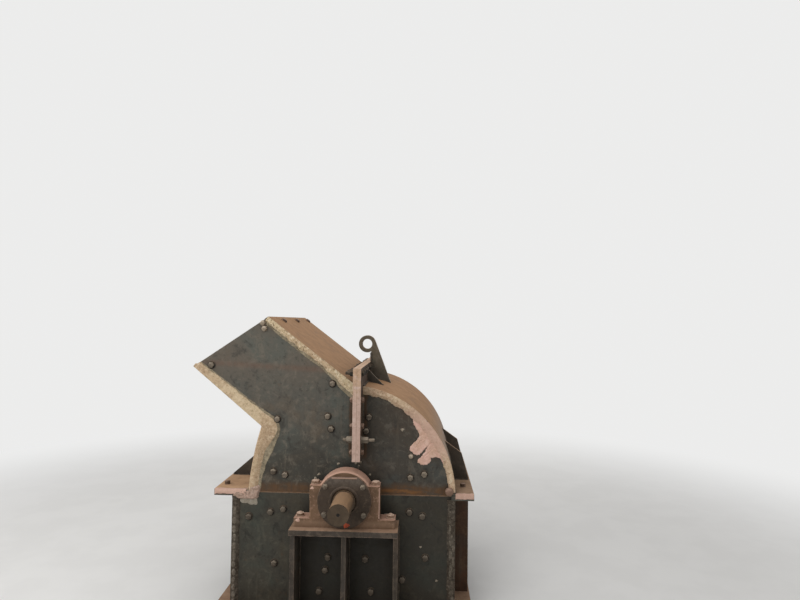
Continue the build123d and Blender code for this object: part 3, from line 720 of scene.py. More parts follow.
def addBand(batch, line, inward, widths, side, look, seed, along=None):
    # A strip that covers a plate's edge and fills the corner to the side plate, closed at both ends
    plate, drop = housing["plate"], edge - face
    rows, feet = [], []
    for spot, aside, width in zip(line, inward, widths):
        wander = look["ragged"] * (waver(*spot, 38, seed) * 1.3 + waver(*spot, 11, seed + 5) * 0.7)
        reach = max(plate + 8, width + wander)
        row, foot = [at(spot.x, side * (edge - 6), spot.y)], [at(spot.x, side * (edge - 6), spot.y)]
        for depth in (0.0, 4.0, 10.0, 16.0, plate):
            point = spot + aside * depth
            lump = look["edgeLumps"] * waver(*point, 21, seed + 2)
            rise = look["overEdge"] * (0.35 if depth == 0 else 1) + max(lump, 0.5 - look["overEdge"])
            row.append(at(point.x, side * (edge + rise), point.y))
            foot.append(at(point.x, side * (edge - 1), point.y))
        for share in (0.12, 0.26, 0.4, 0.54, 0.68, 0.8, 0.92, 1.0):
            point = spot + aside * (plate + share * (reach - plate))
            if along:
                point = cutAtMouth(point, along)
            fall = look["overEdge"] - (look["overEdge"] + drop) * share ** look["fullness"]
            swell = waver(*point, 14, seed + 7) + 0.6 * waver(*point, 6, seed + 11)
            lump = look["lumps"] * (1 - share**3) * swell
            row.append(at(point.x, side * (edge + fall + (lump if share < 1 else -1.0)), point.y))
            foot.append(at(point.x, side * (face - 1), point.y))
        rows.append(row)
        feet.append(foot)
    addSheet(batch, [feet[0], *rows, feet[-1]], side)


wipedLayer = {
    "wrapThick": 0.9, "upperThick": 1.1,
    "ragged": 3.5, "fineRagged": 2.0,  # how far the border wanders, broadly and finely
    "bumps": 0.5,
    "foot": -0.6,  # how far the layer's hem sits under the plate's face
}


def addSmear(batch, line, inward, widths, side, thickness, along, seed):
    # Thin wiped layer on the side plate beyond a band, with a scraped ridge along its border
    rows, foot = [], wipedLayer["foot"]
    for place, (spot, aside, start, width) in enumerate(zip(line, inward, widths["bead"], widths["smear"])):
        wander = wipedLayer["ragged"] * waver(*spot, 26, seed)
        wander += wipedLayer["fineRagged"] * waver(*spot, 8, seed + 3)
        reach = max(start + 6, width + wander)
        taper = 0.0 if place in (0, len(line) - 1) else 1.0
        row = []
        for share, rise in ((0, 1.0), (0.25, 0.7), (0.5, 0.55), (0.72, 0.6), (0.86, 1.15), (0.94, 0.9),
                            (1, -0.6)):
            point = cutAtMouth(spot + aside * (start - 8 + share * (reach - start + 8)), along)
            bump = wipedLayer["bumps"] * waver(*point, 9, seed + 6)
            height = foot + (thickness * rise - foot + bump) * taper if share < 1 else foot
            row.append(at(point.x, side * (face + height), point.y))
        rows.append(row)
    addSheet(batch, rows, side)


wallArc = arcThrough(housing["wallFoot"], housing["wallMiddle"], housing["knee"], puttyBand["step"])
lowerEdge = lineThrough([knee, lip + lowerAlong * puttyBand["setBack"]], puttyBand["step"])
upperEdge = lineThrough([top + upperAlong * puttyBand["setBack"], topEnd], puttyBand["step"])
coverRadius = housing["coverRadius"]
coverStart = math.acos(housing["jointRight"] / coverRadius)
coverEnd = math.asin(housing["flangeTop"] / coverRadius)
coverSteps = int((coverStart - coverEnd) * coverRadius / puttyBand["step"])
coverArc = []
for place in range(coverSteps + 1):
    angle = coverStart + (coverEnd - coverStart) * place / coverSteps
    coverArc.append(Vector((math.cos(angle), math.sin(angle))) * coverRadius)

# the wall's band fans out round the knee, where the putty is widest
wallIn, lowerIn, upperIn = inwardOf(wallArc), inwardOf(lowerEdge), inwardOf(upperEdge)
fan = range(bandWidths["knee"]["places"][-1] + 1)
fanIn = [wallIn[-1].slerp(lowerIn[0], place / fan[-1]) for place in fan]
wrapLine = wallArc[:-1] + [knee] * len(fan) + lowerEdge[1:]
wrapIn = wallIn[:-1] + fanIn + lowerIn[1:]
upperRun = [(topEnd - spot).length for spot in upperEdge]
for place, toJoint in enumerate(upperRun):
    # the band's rows turn upright towards the joint flange
    turn = smoothStep(bandWidths["upper"]["turn"], 0, toJoint)
    upperIn[place] = upperIn[place].slerp(Vector((0, -1)), turn)


def widthsAt(layer, **runs):
    widths = []
    for name, values in runs.items():
        look = bandWidths[name]
        widths += [between(value, look["places"], look[layer]) for value in values]
    return widths


wallRun = [spot.y for spot in wallArc[:-1]]
lowerRun = [(spot - knee).length for spot in lowerEdge[1:]]
layers = ("bead", "smear")
wrapWidths = {layer: widthsAt(layer, wall=wallRun, knee=fan, lower=lowerRun) for layer in layers}
upperWidths = {layer: widthsAt(layer, upper=upperRun) for layer in layers}
coverLine = [spot for spot in coverArc if spot.y > bandWidths["cover"]["stop"]]
coverWidths = widthsAt("bead", cover=[math.degrees(math.atan2(spot.y, spot.x)) for spot in coverLine])
for sideName, side in sides:
    addBand(batchOf(sideName + "WallPutty"), wrapLine, wrapIn, wrapWidths["bead"], side, softBand, 3 + side,
            lowerAlong)
    wiped = batchOf(sideName + "WipedPutty")
    addSmear(wiped, wrapLine, wrapIn, wrapWidths, side, wipedLayer["wrapThick"], lowerAlong, 13 + side)
    addSmear(wiped, upperEdge, upperIn, upperWidths, side, wipedLayer["upperThick"], upperAlong, 33 + side)
    addBand(batchOf(sideName + "ChutePutty"), upperEdge, upperIn, upperWidths["bead"], side, lumpyBand,
            23 + side, upperAlong)
    addBand(batchOf(sideName + "CoverPutty"), coverLine, inwardOf(coverLine), coverWidths, side, lumpyBand,
            43 + side)
print("putty bands made")

weldBead = {
    "step": 4.5,  # millimetres between rings
    "sides": 7,
    "ripple": 0.10, "ripplePitch": 7.0,
    "lumps": 0.28,
}


def addBead(batch, corners, radius, seed=0):
    # Rippled weld along a run of corners given as (x, y, z) from the shaft axis
    points = lineThrough(corners, weldBead["step"])
    rings = []
    travelled = 0.0
    for place, point in enumerate(points):
        along = directionAt(points, place)
        aside = along.orthogonal().normalized()
        across = along.cross(aside)
        if place:
            travelled += (point - points[place - 1]).length
        size = radius * (
            1 + weldBead["ripple"] * math.sin(2 * math.pi * travelled / weldBead["ripplePitch"] + seed)
            + weldBead["lumps"] * noise.noise(Vector((travelled / 16, seed, 0.5)))
        )
        if place in (0, len(points) - 1):
            size *= 0.35
        rings.append([at(*(point + (aside * math.cos(angle) + across * math.sin(angle)) * size))
                      for angle in evenTurns(weldBead["sides"])])
    addRings(batch, rings)


def addFlatBead(batch, y, places, radius, seed):
    # Bead that keeps the same y, through places given as (x, z)
    addBead(batch, [(x, y, z) for x, z in places], radius, seed)


def addStrip(batch, side, x, inwardSign, look, seed):
    # Lumpy vertical weld between a lower side plate and an end wall
    line = lineThrough([(x, housing["baseTop"]), (x, housing["flangeBottom"])], puttyBand["step"])
    rows = {"points": [], "faces": []}
    inward, widths = [Vector((inwardSign, 0))] * len(line), [look["width"]] * len(line)
    addBand(rows, line, inward, widths, side, look, seed)
    start = len(batch["points"])
    batch["points"].extend(rows["points"])
    for strip in rows["faces"]:
        batch["faces"].append(tuple(start + index for index in strip[::inwardSign]))


def addLump(batch, spot, side, wide, tall, rise, seed):
    # One weld lump, a low dome with an uneven outline
    rings = []
    for share, height in ((1.0, -0.25), (0.9, 0.35), (0.68, 0.75), (0.36, 0.96), (0.1, 1.0)):
        ring = []
        for turn in evenTurns(14):
            angle = -side * turn
            wobble = 1 + 0.16 * noise.noise(Vector((math.cos(angle) * 1.3, math.sin(angle) * 1.3, seed)))
            x = spot[0] + wide / 2 * share * wobble * math.cos(angle)
            z = spot[1] + tall / 2 * share * wobble * math.sin(angle)
            ring.append(at(x, side * (spot[2] + rise * height), z))
        rings.append(ring)
    addRings(batch, rings, True, False, True)


cornerWeld = {
    "Left": {**puttyBand, "overEdge": 0.8, "edgeLumps": 1.0, "lumps": 1.6, "ragged": 3.0, "width": 38},
    "Right": {**puttyBand, "overEdge": 1.2, "edgeLumps": 2.4, "lumps": 4.0, "ragged": 4.0, "width": 41},
}
# lumps in a chain up the left corner, each range from the least to the most
weldChain = {"in": 14, "stray": 1.5, "wide": (17, 22), "tall": (32, 58), "gap": (0, 5), "rise": 3.8,
             "foot": 4, "top": 72}
# lumps scattered up the right corner, the tallest ones low down
weldLumps = {"in": (9, 22), "wide": (13, 23), "tall": (36, 76), "rise": (1.4, 2.8), "step": (0.3, 0.6),
             "ends": 18, "fade": (-330, -120), "thinner": 8}
random.seed(5)
for sideName, side in sides:
    for end, inwardSign, seed in (("Left", 1, 61), ("Right", -1, 71)):
        addStrip(batchOf(f"{sideName}{end}CornerWeld"), side, housing["lower" + end], inwardSign,
                 cornerWeld[end], seed + side)
    look = weldChain
    z = housing["baseTop"] + look["foot"]
    while z < housing["flangeBottom"] - look["top"]:
        x = housing["lowerLeft"] + look["in"] + random.uniform(-look["stray"], look["stray"])
        tall = random.uniform(*look["tall"])
        addLump(batchOf(sideName + "WeldChain"), (x, z + tall / 2, edge + 0.6), side,
                random.uniform(*look["wide"]), tall, look["rise"], random.random() * 9)
        z += tall + random.uniform(*look["gap"])
    look = weldLumps
    z = housing["baseTop"] + look["ends"]
    while z < housing["flangeBottom"] - look["ends"]:
        x = housing["lowerRight"] - random.uniform(*look["in"])
        low = 1 - smoothStep(*look["fade"], z)
        wide, tall = random.uniform(*look["wide"]), random.uniform(*look["tall"])
        addLump(batchOf(sideName + "WeldLumps"), (x, z, edge - 1), side, wide, tall,
                between(low, (0, 1), look["rise"]), random.random() * 9)
        z += tall * random.uniform(*look["step"]) + look["thinner"] * (1 - low)

# Where the plain weld beads run, in millimetres from the shaft axis
beadPlaces = {
    "shelfEnd": 262, "shelfThick": 26,
    "bracketRibs": (-251, 0, 251), "bracketRibHalf": 11, "bracketRibFront": 568,
    "foot": (-571, 525),
    "leftEarTop": 480, "rightEarTop": 500,
    "endRibRow": 178, "jointRibRow": 215, "ribHalf": 8,
    "wallRibTop": 185, "coverRibTop": 215, "shortOfFlange": 8,
    "rightJointRib": ((71, 603), (71, 540), (161, 521)),
    "leftJointRib": ((31, 603), (31, 547), (-41, 601)),
    "feedFoot": -508,
    "coverAtJoint": 540.5, "chuteAtJoint": 547,
    "lugHalf": 15, "lugFoot": ((71, 690), (71, 541), (130, 529.5), (188, 511.5)),
}
baseTop, flangeTop, flangeBottom = housing["baseTop"], housing["flangeTop"], housing["flangeBottom"]
shelfLow = housing["shelfTop"] - beadPlaces["shelfThick"]
short = beadPlaces["shortOfFlange"]
for sideName, side in sides:
    batch = batchOf(sideName + "Beads")
    # bracket shelf and ribs to the side plate and the base
    y, ribY = side * face, side * beadPlaces["bracketRibFront"]
    shelfEnd = beadPlaces["shelfEnd"]
    addFlatBead(batch, y, ((-shelfEnd, housing["shelfTop"]), (shelfEnd, housing["shelfTop"])), 6, 1)
    for place, x in enumerate(beadPlaces["bracketRibs"]):
        for sign in (-1, 1):
            spot = x + sign * beadPlaces["bracketRibHalf"]
            addBead(batch, [(spot, y, baseTop), (spot, y, shelfLow)], 5, place)
            addBead(batch, [(spot, y, shelfLow), (spot, ribY, shelfLow)], 5, place + 4)
            addBead(batch, [(spot, y, baseTop), (spot, ribY, baseTop)], 5, place + 8)
    # lower side plate to the base, and the joint flange's ears
    addFlatBead(batch, y, [(x, baseTop) for x in beadPlaces["foot"]], 7, 3)
    for x, earTop, seed in ((housing["jointLeft"], beadPlaces["leftEarTop"], 5),
                            (housing["jointRight"], beadPlaces["rightEarTop"], 6)):
        addFlatBead(batch, y, ((x, housing["jointBottom"]), (x, earTop)), 6, seed)
    # end ribs, and the ribs on the joint flanges
    for thick in (-beadPlaces["ribHalf"], beadPlaces["ribHalf"]):
        row, jointRow = (side * beadPlaces[key] + thick for key in ("endRibRow", "jointRibRow"))
        for seed, runY, run in (
            (7, row, ((housing["lowerLeft"], baseTop), (housing["lowerLeft"], flangeBottom))),
            (8, row, ((housing["lowerRight"], baseTop), (housing["lowerRight"], flangeBottom))),
            (9, row, ((housing["flangeLeft"] + short, flangeTop), (beadPlaces["feedFoot"], flangeTop))),
            (10, row, ((coverRadius, flangeTop), (housing["flangeRight"] - short, flangeTop))),
            (11, row, [spot for spot in wallArc[::8] if spot.y < beadPlaces["wallRibTop"]]),
            (12, row, [spot for spot in coverArc[::6] if spot.y < beadPlaces["coverRibTop"]]),
            (13, jointRow, beadPlaces["rightJointRib"]),
            (14, jointRow, beadPlaces["leftJointRib"]),
        ):
            addFlatBead(batch, runY, run, 4.5, seed)

batch = batchOf("longBeads")
for (x, z), inset, radius, seed in (
    ((beadPlaces["feedFoot"], flangeTop), 4, 6, 15),
    ((coverRadius, flangeTop), 4, 6, 15),
    ((housing["lowerLeft"], flangeBottom), 4, 6, 16),
    ((housing["lowerLeft"], baseTop), 4, 7, 17),
    ((housing["lowerRight"], flangeBottom), 4, 6, 16),
    ((housing["lowerRight"], baseTop), 4, 7, 17),
    ((housing["jointRight"], beadPlaces["coverAtJoint"]), 0, 7, 18),
    ((housing["jointLeft"], beadPlaces["chuteAtJoint"]), 0, 7, 19),
    (housing["knee"], 4, 6, 20),
):
    addBead(batch, [(x, inset - edge, z), (x, edge - inset, z)], radius, seed)
for y in (-beadPlaces["lugHalf"], beadPlaces["lugHalf"]):
    addFlatBead(batch, y, beadPlaces["lugFoot"], 6, 21)

# pale filler smeared along the front edges of the seam flanges
flangeFiller = {"low": -19, "wrap": 17, "thickness": 1.6, "left": (-684, -520), "right": (545, 638.5)}


def addFlangeFiller(batch, side, first, last, look, seed):
    rows = []
    for x in [first + (last - first) * step / 40 for step in range(41)]:
        row = []
        deep = look["wrap"] + 6 * noise.noise(Vector((x / 15, seed, 0.3)))
        low = look["low"] + 3 * noise.noise(Vector((x / 12, seed, 3.3)))
        for y, z, inY, inZ in (
            (0, low, -1, 0), (0, low + 5, 1, 0), (0, -4, 1, 0), (0, flangeTop - 4, 1, 0),
            (0, flangeTop, 0.7, 0.7), (4, flangeTop, 0, 1), (deep - 3, flangeTop, 0, 0.8),
            (deep, flangeTop, 0, -0.8),
        ):
            amount = look["thickness"] * (1 + 0.5 * waver(x, y + z, 9, seed + 2)) if first < x < last else -0.4
            row.append(at(x, side * (edge - y + inY * amount), z + inZ * amount))
        rows.append(row)
    addSheet(batch, rows, side)


for sideName, side in sides:
    batch = batchOf(sideName + "FlangeFiller")
    for end, seed in (("left", 5.5), ("right", 8.5)):
        addFlangeFiller(batch, side, *flangeFiller[end], flangeFiller, seed + side)
print("welds made")


def addBolt(heads, washers, spot, direction, look):
    # Head or nut on a washer, a little out of true
    lean = Vector([random.uniform(-1, 1) for way in range(3)]) * 0.03
    place = facing(spot, Vector(direction) + lean, random.uniform(0, math.pi / 3))
    addWasher(washers, place, look["washer"] * random.uniform(0.95, 1.05), look["thick"])
    head = place @ Matrix.Translation((0, 0, look["thick"] * mm * 0.9))
    height = look["height"] * random.uniform(0.94, 1.06)
    addHex(heads, head, look["flats"], height, 0, 0.03, random.random() * 9)
    if "stud" in look:
        addStudEnd(heads, head, look["studRadius"], look["height"] * 0.95, look["stud"])


# Bolts in millimetres: across the flats, height of the head, radius and thickness of the washer, how far
# the washer sinks into what it stands on, and places
linerBolt = {"flats": 26, "height": 12, "washer": 20.5, "thick": 3, "sink": 0.5, "spots": (
    (-720, 637), (-369, 365), (-87, 550), (-109, 384), (-91, 320), (103, 383),
    (89, 313), (-384, 99), (-324, 83), (317, 83), (387, 101),
    (-506, -131), (-395, -105), (-329, -89), (314, -90), (379, -109), (-371, -361), (396, -315), (280, -425),
    (-98, -324), (-110, -388), (-140, -494), (93, -329), (123, -489),
)}
smallBolt = {"flats": 13, "height": 7, "washer": 9, "thick": 1.5, "sink": 0.5, "spots": ((40, 150), (61, 155))}
cornerBolt = {**linerBolt, "flats": 23, "washer": 14.5, "spots": ((-455, 857), (-446, 829))}
pastedBolt = {**linerBolt, "flats": 20, "height": 8, "washer": 12, "spots": ((319, 189),)}
ringedBolt = {**linerBolt, "flats": 33, "height": 13, "washer": 21, "spots": ((514, 20),),
              "boss": 18.5, "bossTop": 14}
chuteBolt = {**linerBolt, "height": 9, "washer": 17.5, "sink": 0.4, "spots": (-239, 80, 396), "x": -396}
random.seed(11)
for sideName, side in sides:
    heads, washers = batchOf(sideName + "LinerBolts"), batchOf(sideName + "LinerWashers")
    corner, pasted, ringed = (batchOf(sideName + name) for name in ("CornerBolts", "PastedBolt", "RingedBolt"))
    for look, headBatch, washerBatch in (
        (linerBolt, heads, washers), (smallBolt, heads, washers), (cornerBolt, corner, corner),
        (pastedBolt, pasted, pasted), (ringedBolt, ringed, ringed),
    ):
        depth = edge + 1 if look is ringedBolt else face - look["sink"]
        for x, z in look["spots"]:
            addBolt(headBatch, washerBatch, at(x, side * depth, z), (0, side, 0), look)
    # the ringed bolt stands on a round boss
    x, z = ringedBolt["spots"][0]
    boss, bossTop = ringedBolt["boss"], ringedBolt["bossTop"]
    addTurned(washers, facing(at(x, side * (face - 1), z), (0, side, 0)),
              [(boss, 0), (boss, bossTop), (2, bossTop + 0.2)], 28)
fallen = top.y + (chuteBolt["x"] - top.x) * upperAlong.y / upperAlong.x
for y in chuteBolt["spots"]:
    heads = batchOf("chuteTopBolts")
    spot = at(chuteBolt["x"], y, fallen - chuteBolt["sink"])
    addBolt(heads, heads, spot, (-upperAlong.y, 0, upperAlong.x), chuteBolt)

# bolts through the joint flanges, with heads on the right and nuts on the left
jointBolt = {"flats": 24, "height": 10, "washer": 15, "thick": 3, "sink": 0.5}
jointNut = {**jointBolt, "height": 13, "stud": 5, "studRadius": 7}
topNut = {**jointBolt, "flats": 27, "height": 16, "washer": 17, "stud": 24, "studRadius": 9}
earSpots = {"y": (503,), "z": (219, 349, 478)}
topSpots = {"y": (75, 150, 285, 362, 440, 515), "z": (612,)}
for side in (-1, 1):
    for name, spots, nut in (("jointBolts", earSpots, jointNut), ("jointTopBolts", topSpots, topNut)):
        for y, z in [(side * y, z) for y in spots["y"] for z in spots["z"]]:
            for x, way, look in ((housing["jointRight"], 1, jointBolt), (housing["jointLeft"], -1, nut)):
                addBolt(batchOf(name), batchOf(name), at(x - way * look["sink"], y, z), (way, 0, 0), look)

# threaded jack rod that pulls the two joint flanges together
jackRod = {"radius": 8.5, "pitch": 2.5, "from": -20, "to": 138, "y": 500, "height": 280,
           "nut": 30, "nutLength": 32, "nutFoot": 2.8, "washer": 19, "thick": 3, "turn": 0.3}
for side in (-1, 1):
    batch = batchOf("jackRods")
    start = facing(at(jackRod["from"], side * jackRod["y"], jackRod["height"]), (1, 0, 0))
    addStudEnd(batch, start, jackRod["radius"], 0, jackRod["to"] - jackRod["from"], jackRod["pitch"])
    addTurned(batch, start, [(0.5, -0.6), (5, -0.5), (jackRod["radius"] * 0.92, 1.5)], 16, True, False)
    for x, way in ((housing["jointLeft"], -1), (housing["jointRight"], 1)):
        place = facing(at(x, side * jackRod["y"], jackRod["height"]), (way, 0, 0), jackRod["turn"])
        addWasher(batch, place, jackRod["washer"], jackRod["thick"])
        nutFoot = place @ Matrix.Translation((0, 0, jackRod["nutFoot"] * mm))
        addHex(batch, nutFoot, jackRod["nut"], jackRod["nutLength"], jackRod["radius"])

# bolts through the seam flanges, each row given as x and the places along it
seamBolt = {"flats": 25, "height": 16, "washer": 15, "thick": 3, "sink": 0.3}
seamNut = {**seamBolt, "height": 14, "stud": 8, "studRadius": 8}
seamRows = {-648: (-362, -60, 60, 362), 592: (-316, -60, 60, 316)}
for x, row in seamRows.items():
    for y in row:
        batch = batchOf("seamBolts")
        for z, way, look in ((flangeTop, 1, seamBolt), (flangeBottom, -1, seamNut)):
            addBolt(batch, batch, at(x, y, z - way * look["sink"]), (0, 0, way), look)

# bearing studs and feet
capNut = {"flats": 36, "height": 13, "washer": 22, "thick": 3, "sink": 0.4, "stud": 4, "studRadius": 11,
          "x": 149, "z": 70}
footNut = {**capNut, "flats": 34, "stud": 5, "studRadius": 10, "x": 223, "z": -89}
discBolt = {"flats": 21, "height": 9, "washer": 13, "thick": 2.5, "sink": 0.4, "spots": ((91, 72), (96, -62))}
for sideName, side in sides:
    nuts, bolts = batchOf(sideName + "BearingNuts"), batchOf(sideName + "CoverBolts")
    for look in (capNut, footNut):
        for x in (-look["x"], look["x"]):
            spot = at(x, side * housing["blockMiddle"], look["z"] - look["sink"])
            addBolt(nuts, nuts, spot, (0, 0, 1), look)
    depth = side * (housing["coverFront"] - discBolt["sink"])
    for x, z in discBolt["spots"]:
        for end in (-1, 1):
            addBolt(bolts, bolts, at(end * x, depth, z), (0, side, 0), discBolt)

# raised boss on the end cover round the shaft, beads of filler round its rim and flat, and a pale bead up the
# block's right edge as a painted highlight
coverBoss = [(74, -0.4), (73, 1.4), (71, 2.2), (65, 2.6), (62, 2.4), (60.4, 1.4), (59.6, -3)]
rimFiller = {"radius": 129.5, "size": 3.4, "flat": 112, "flatSize": 3.2}
# pale bead up the bearing block's right front edge: painted highlight
edgeHighlightBead = {"x": 169.5, "from": 66, "to": -84, "size": 2.2}
half = math.sqrt(rimFiller["radius"]**2 - rimFiller["flat"]**2)
first = math.atan2(rimFiller["flat"], half)
rim = [(half, rimFiller["flat"]), (-half, rimFiller["flat"])]
for step in range(1, 60):
    angle = math.pi - first + (math.pi + 2 * first) * step / 60
    rim.append((rimFiller["radius"] * math.cos(angle), rimFiller["radius"] * math.sin(angle)))
rim.append(rim[0])
flatRun = [(x, rimFiller["flat"] - 0.5) for x in (half - 1, 1 - half)]
edgeRun = [(edgeHighlightBead["x"], edgeHighlightBead[key]) for key in ("from", "to")]
for sideName, side in sides:
    coverFace = facing(at(0, side * housing["coverFront"], 0), (0, side, 0))
    addTurned(batchOf(sideName + "CoverBoss"), coverFace, coverBoss, 96, False, False)
    for name, y, run, size, seed in (
        ("CoverFiller", housing["blockFront"] + 0.5, rim, rimFiller["size"], 31),
        ("FlatFiller", housing["coverFront"] - 2, flatRun, rimFiller["flatSize"], 33),
        ("EdgeFiller", housing["blockFront"] - 1, edgeRun, edgeHighlightBead["size"], 34),
    ):
        addFlatBead(batchOf(sideName + name), side * y, run, size, seed)
print("bolts and bearing details made")


def sidesOf(outline):
    return zip(outline, outline[1:] + outline[:1])


def insideOutline(x, z, outline):
    hit = False
    for (ax, az), (bx, bz) in sidesOf(outline):
        if (az > z) != (bz > z) and x < (bx - ax) * (z - az) / (bz - az) + ax:
            hit = not hit
    return hit


def outlineDistance(x, z, outline):
    best = 1e9
    spot = Vector((x, z))
    for a, b in sidesOf(outline):
        a, b = Vector(a), Vector(b)
        run = b - a
        share = min(1, max(0, (spot - a).dot(run) / run.length_squared))
        best = min(best, (spot - a - run * share).length)
    return best


def addDaub(batch, outline, depth, side, look, seed):
    # Hand-spread patch with a ragged border, thickest in the middle, and finger grooves where given
    thickness, step, soft = (look[key] for key in ("thick", "step", "soft"))
    low = [min(p[i] for p in outline) - 6 for i in (0, 1)]
    high = [max(p[i] for p in outline) + 6 for i in (0, 1)]
    columns, rows = (int((high[i] - low[i]) / step) + 1 for i in (0, 1))
    index = {}
    for i in range(columns + 1):
        for j in range(rows + 1):
            x, z = low[0] + i * step, low[1] + j * step
            inside = outlineDistance(x, z, outline) * (1 if insideOutline(x, z, outline) else -1)
            inside += waver(x, z, 9, seed) * 3.2
            if inside < -step * 1.5:
                continue
            rise = -1.0 + (thickness + 1.0) * smoothStep(-1, soft, inside)
            rise += 0.5 * thickness * waver(x, z, 12, seed + 4) * smoothStep(0, soft, inside)
            for start, end, deep in look.get("grooves", ()):
                rise -= deep * math.exp(-(outlineDistance(x, z, [start, end]) / 2.6) ** 2)
            index[i, j] = len(batch["points"])
            batch["points"].append(at(x, side * (depth + max(rise, -1.0)), z))
    for i in range(columns):
        for j in range(rows):
            corners = [(i, j), (i + 1, j), (i + 1, j + 1), (i, j + 1)]
            if all(corner in index for corner in corners):
                batch["faces"].append(tuple(index[corner] for corner in corners[::-side]))


# Patches on both sides, in millimetres: thickness, spacing of the points, width of the soft border
patches = {
    "CoverSmear": {
        "thick": 3.2, "step": 2.2, "soft": 6, "seed": 4.0,
        "outline": [
            (235, 452), (273, 424), (315, 403), (326, 377), (330, 351), (342, 333), (361, 299), (350, 277),
            (331, 258), (313, 237), (310, 221), (330, 204), (350, 193), (364, 198), (382, 216), (396, 233),
            (388, 213), (371, 190), (355, 177), (352, 159), (370, 148), (396, 146), (411, 156), (422, 167),
            (422, 182), (448, 186), (470, 179), (481, 154), (493, 125), (504, 95), (508, 70), (514, 48),
            (522, 60), (519, 110), (508, 155), (488, 208), (459, 266), (424, 319), (380, 370), (333, 413),
            (284, 448), (245, 470),
        ],
        "grooves": [
            ((380, 214), (424, 264), 2.6), ((332, 224), (384, 284), 2.3), ((366, 168), (432, 232), 2.0),
            ((442, 218), (478, 180), 2.3), ((436, 236), (470, 222), 1.8), ((356, 286), (392, 312), 1.6),
        ],
    },
    "CornerSmear": {
        "thick": 14.2, "step": 3.2, "soft": 10, "seed": 9.0,
        "outline": [
            (-594, -21), (-592, -40), (-560, -44), (-500, -46), (-463, -40), (-448, 12), (-454, 27),
            (-480, 31), (-504, 27), (-512, 10), (-560, 4), (-592, -6),
        ],
    },
    "WipedCorner": {
        "thick": 2.2, "step": 3.2, "soft": 12, "seed": 12.0,
        "outline": [
            (-574, -36), (-571, -56), (-556, -59), (-540, -70), (-518, -68), (-500, -77), (-482, -74),
            (-466, -80), (-461, -62), (-462, -38), (-510, -32),
        ],
    },
}
for sideName, side in sides:
    for name, look in patches.items():
        addDaub(batchOf(sideName + name), look["outline"], face, side, look, look["seed"])

# Small dabs on the front plates, the bearing housing and the end cover, with spots as x, z and size; the pale
# dabs on and beside the bearing block are partly painted glints
dabs = {
    "lightDaubs": {
        "depth": face, "thick": 2.2, "step": 2.2, "soft": 6, "seed": 20.0, "first": 0,
        "spots": ((274, 322, 11), (-51, 144, 10), (-150, 90, 10), (-168, 70, 9), (113, 94, 8), (55, 137, 6),
                  (196, -103, 9), (371, -262, 8), (453, -427, 9)),
    },
    "blockDaubs": {
        "depth": housing["blockFront"], "thick": 1.6, "step": 2.2, "soft": 6, "seed": 40.0, "first": 3,
        "spots": ((-158, 58, 11), (-226, -98, 13)),
    },
    "orangeDaub": {
        "depth": housing["coverFront"], "thick": 1.0, "step": 2.0, "soft": 4, "seed": 31.0, "first": 1,
        "spots": ((12, -112, 17),),
    },
}


def blob(x, z, size, number):
    return [(x + size * (1 + 0.3 * math.sin(3 * angle + number)) * math.cos(angle),
             z + size * 0.8 * math.sin(angle)) for angle in evenTurns(10)]


for name, look in dabs.items():
    for number, spot in enumerate(look["spots"]):
        outline = blob(*spot, look["first"] + number)
        addDaub(batchOf(name), outline, look["depth"], -1, look, look["seed"] + number)
print("daubs made")

# Finish, slot, and angle up to which faces are smoothed together, for each piece of both sides or alone
pieceLooks = (
    ("tanPutty", "primed_flange", 80, "WallPutty"),
    ("greySmear", "primed_flange", 80, "WipedPutty"),
    ("grittyPutty", "primed_flange", 80, "ChutePutty"),
    ("coverPutty", "primed_flange", 80, "CoverPutty"),
    ("coverSmear", "primed_flange", 80, "CoverSmear"),
    ("cornerPutty", "primed_flange", 80, "CornerSmear"),
    ("greyDaub", "primed_flange", 80, "WipedCorner"),
    ("paleDaub", "primed_flange", 80, "lightDaubs"),
    ("orangeDaub", "bearing_iron", 80, "orangeDaub"),
    ("pinkPutty", "primed_flange", 80, "blockDaubs"),
    ("pinkPutty", "primed_flange", 70, "FlangeFiller"),
    ("pinkPutty", "bearing_iron", 40, "EdgeFiller"),
    ("greyWeld", "bare_plate", 80, "LeftCornerWeld RightCornerWeld Beads longBeads"),
    ("paleWeld", "bare_plate", 80, "WeldChain"),
    ("dullWeld", "bare_plate", 80, "WeldLumps"),
    ("boltHead", "bearing_iron", 40, "LinerBolts CoverBolts jackRods"),
    # the liner washers are kept very dark as painted shadow round the bolt heads
    ("darkBolt", "bearing_iron", 40, "LinerWashers jointTopBolts"),
    ("brownBolt", "bearing_iron", 40, "CoverFiller chuteTopBolts seamBolts"),
    ("pastedBolt", "bearing_iron", 40, "CornerBolts PastedBolt"),
    ("smearedBrownBolt", "bearing_iron", 40, "RingedBolt FlatFiller jointBolts"),
    ("smearedBolt", "bearing_iron", 40, "BearingNuts"),
    ("coverIron", "bearing_iron", 40, "CoverBoss"),
)


def makePiece(name, finishName, angle):
    mesh = bpy.data.meshes.new(name)
    mesh.from_pydata(batches[name]["points"], [], batches[name]["faces"])
    mesh.validate()
    mesh.update()
    mesh.materials.append(finishes[finishName])
    mesh.shade_smooth()
    mesh.set_sharp_from_angle(angle=math.radians(angle))
    piece = bpy.data.objects.new(name, mesh)
    bpy.context.scene.collection.objects.link(piece)
    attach(piece, "housing")


for finishName, slotName, angle, names in pieceLooks:
    for name in [prefix + name for name in names.split() for prefix in ("", "front", "back")]:
        if name in batches:
            makePiece(name, finishName, angle)
print("pieces made,", len(batches))

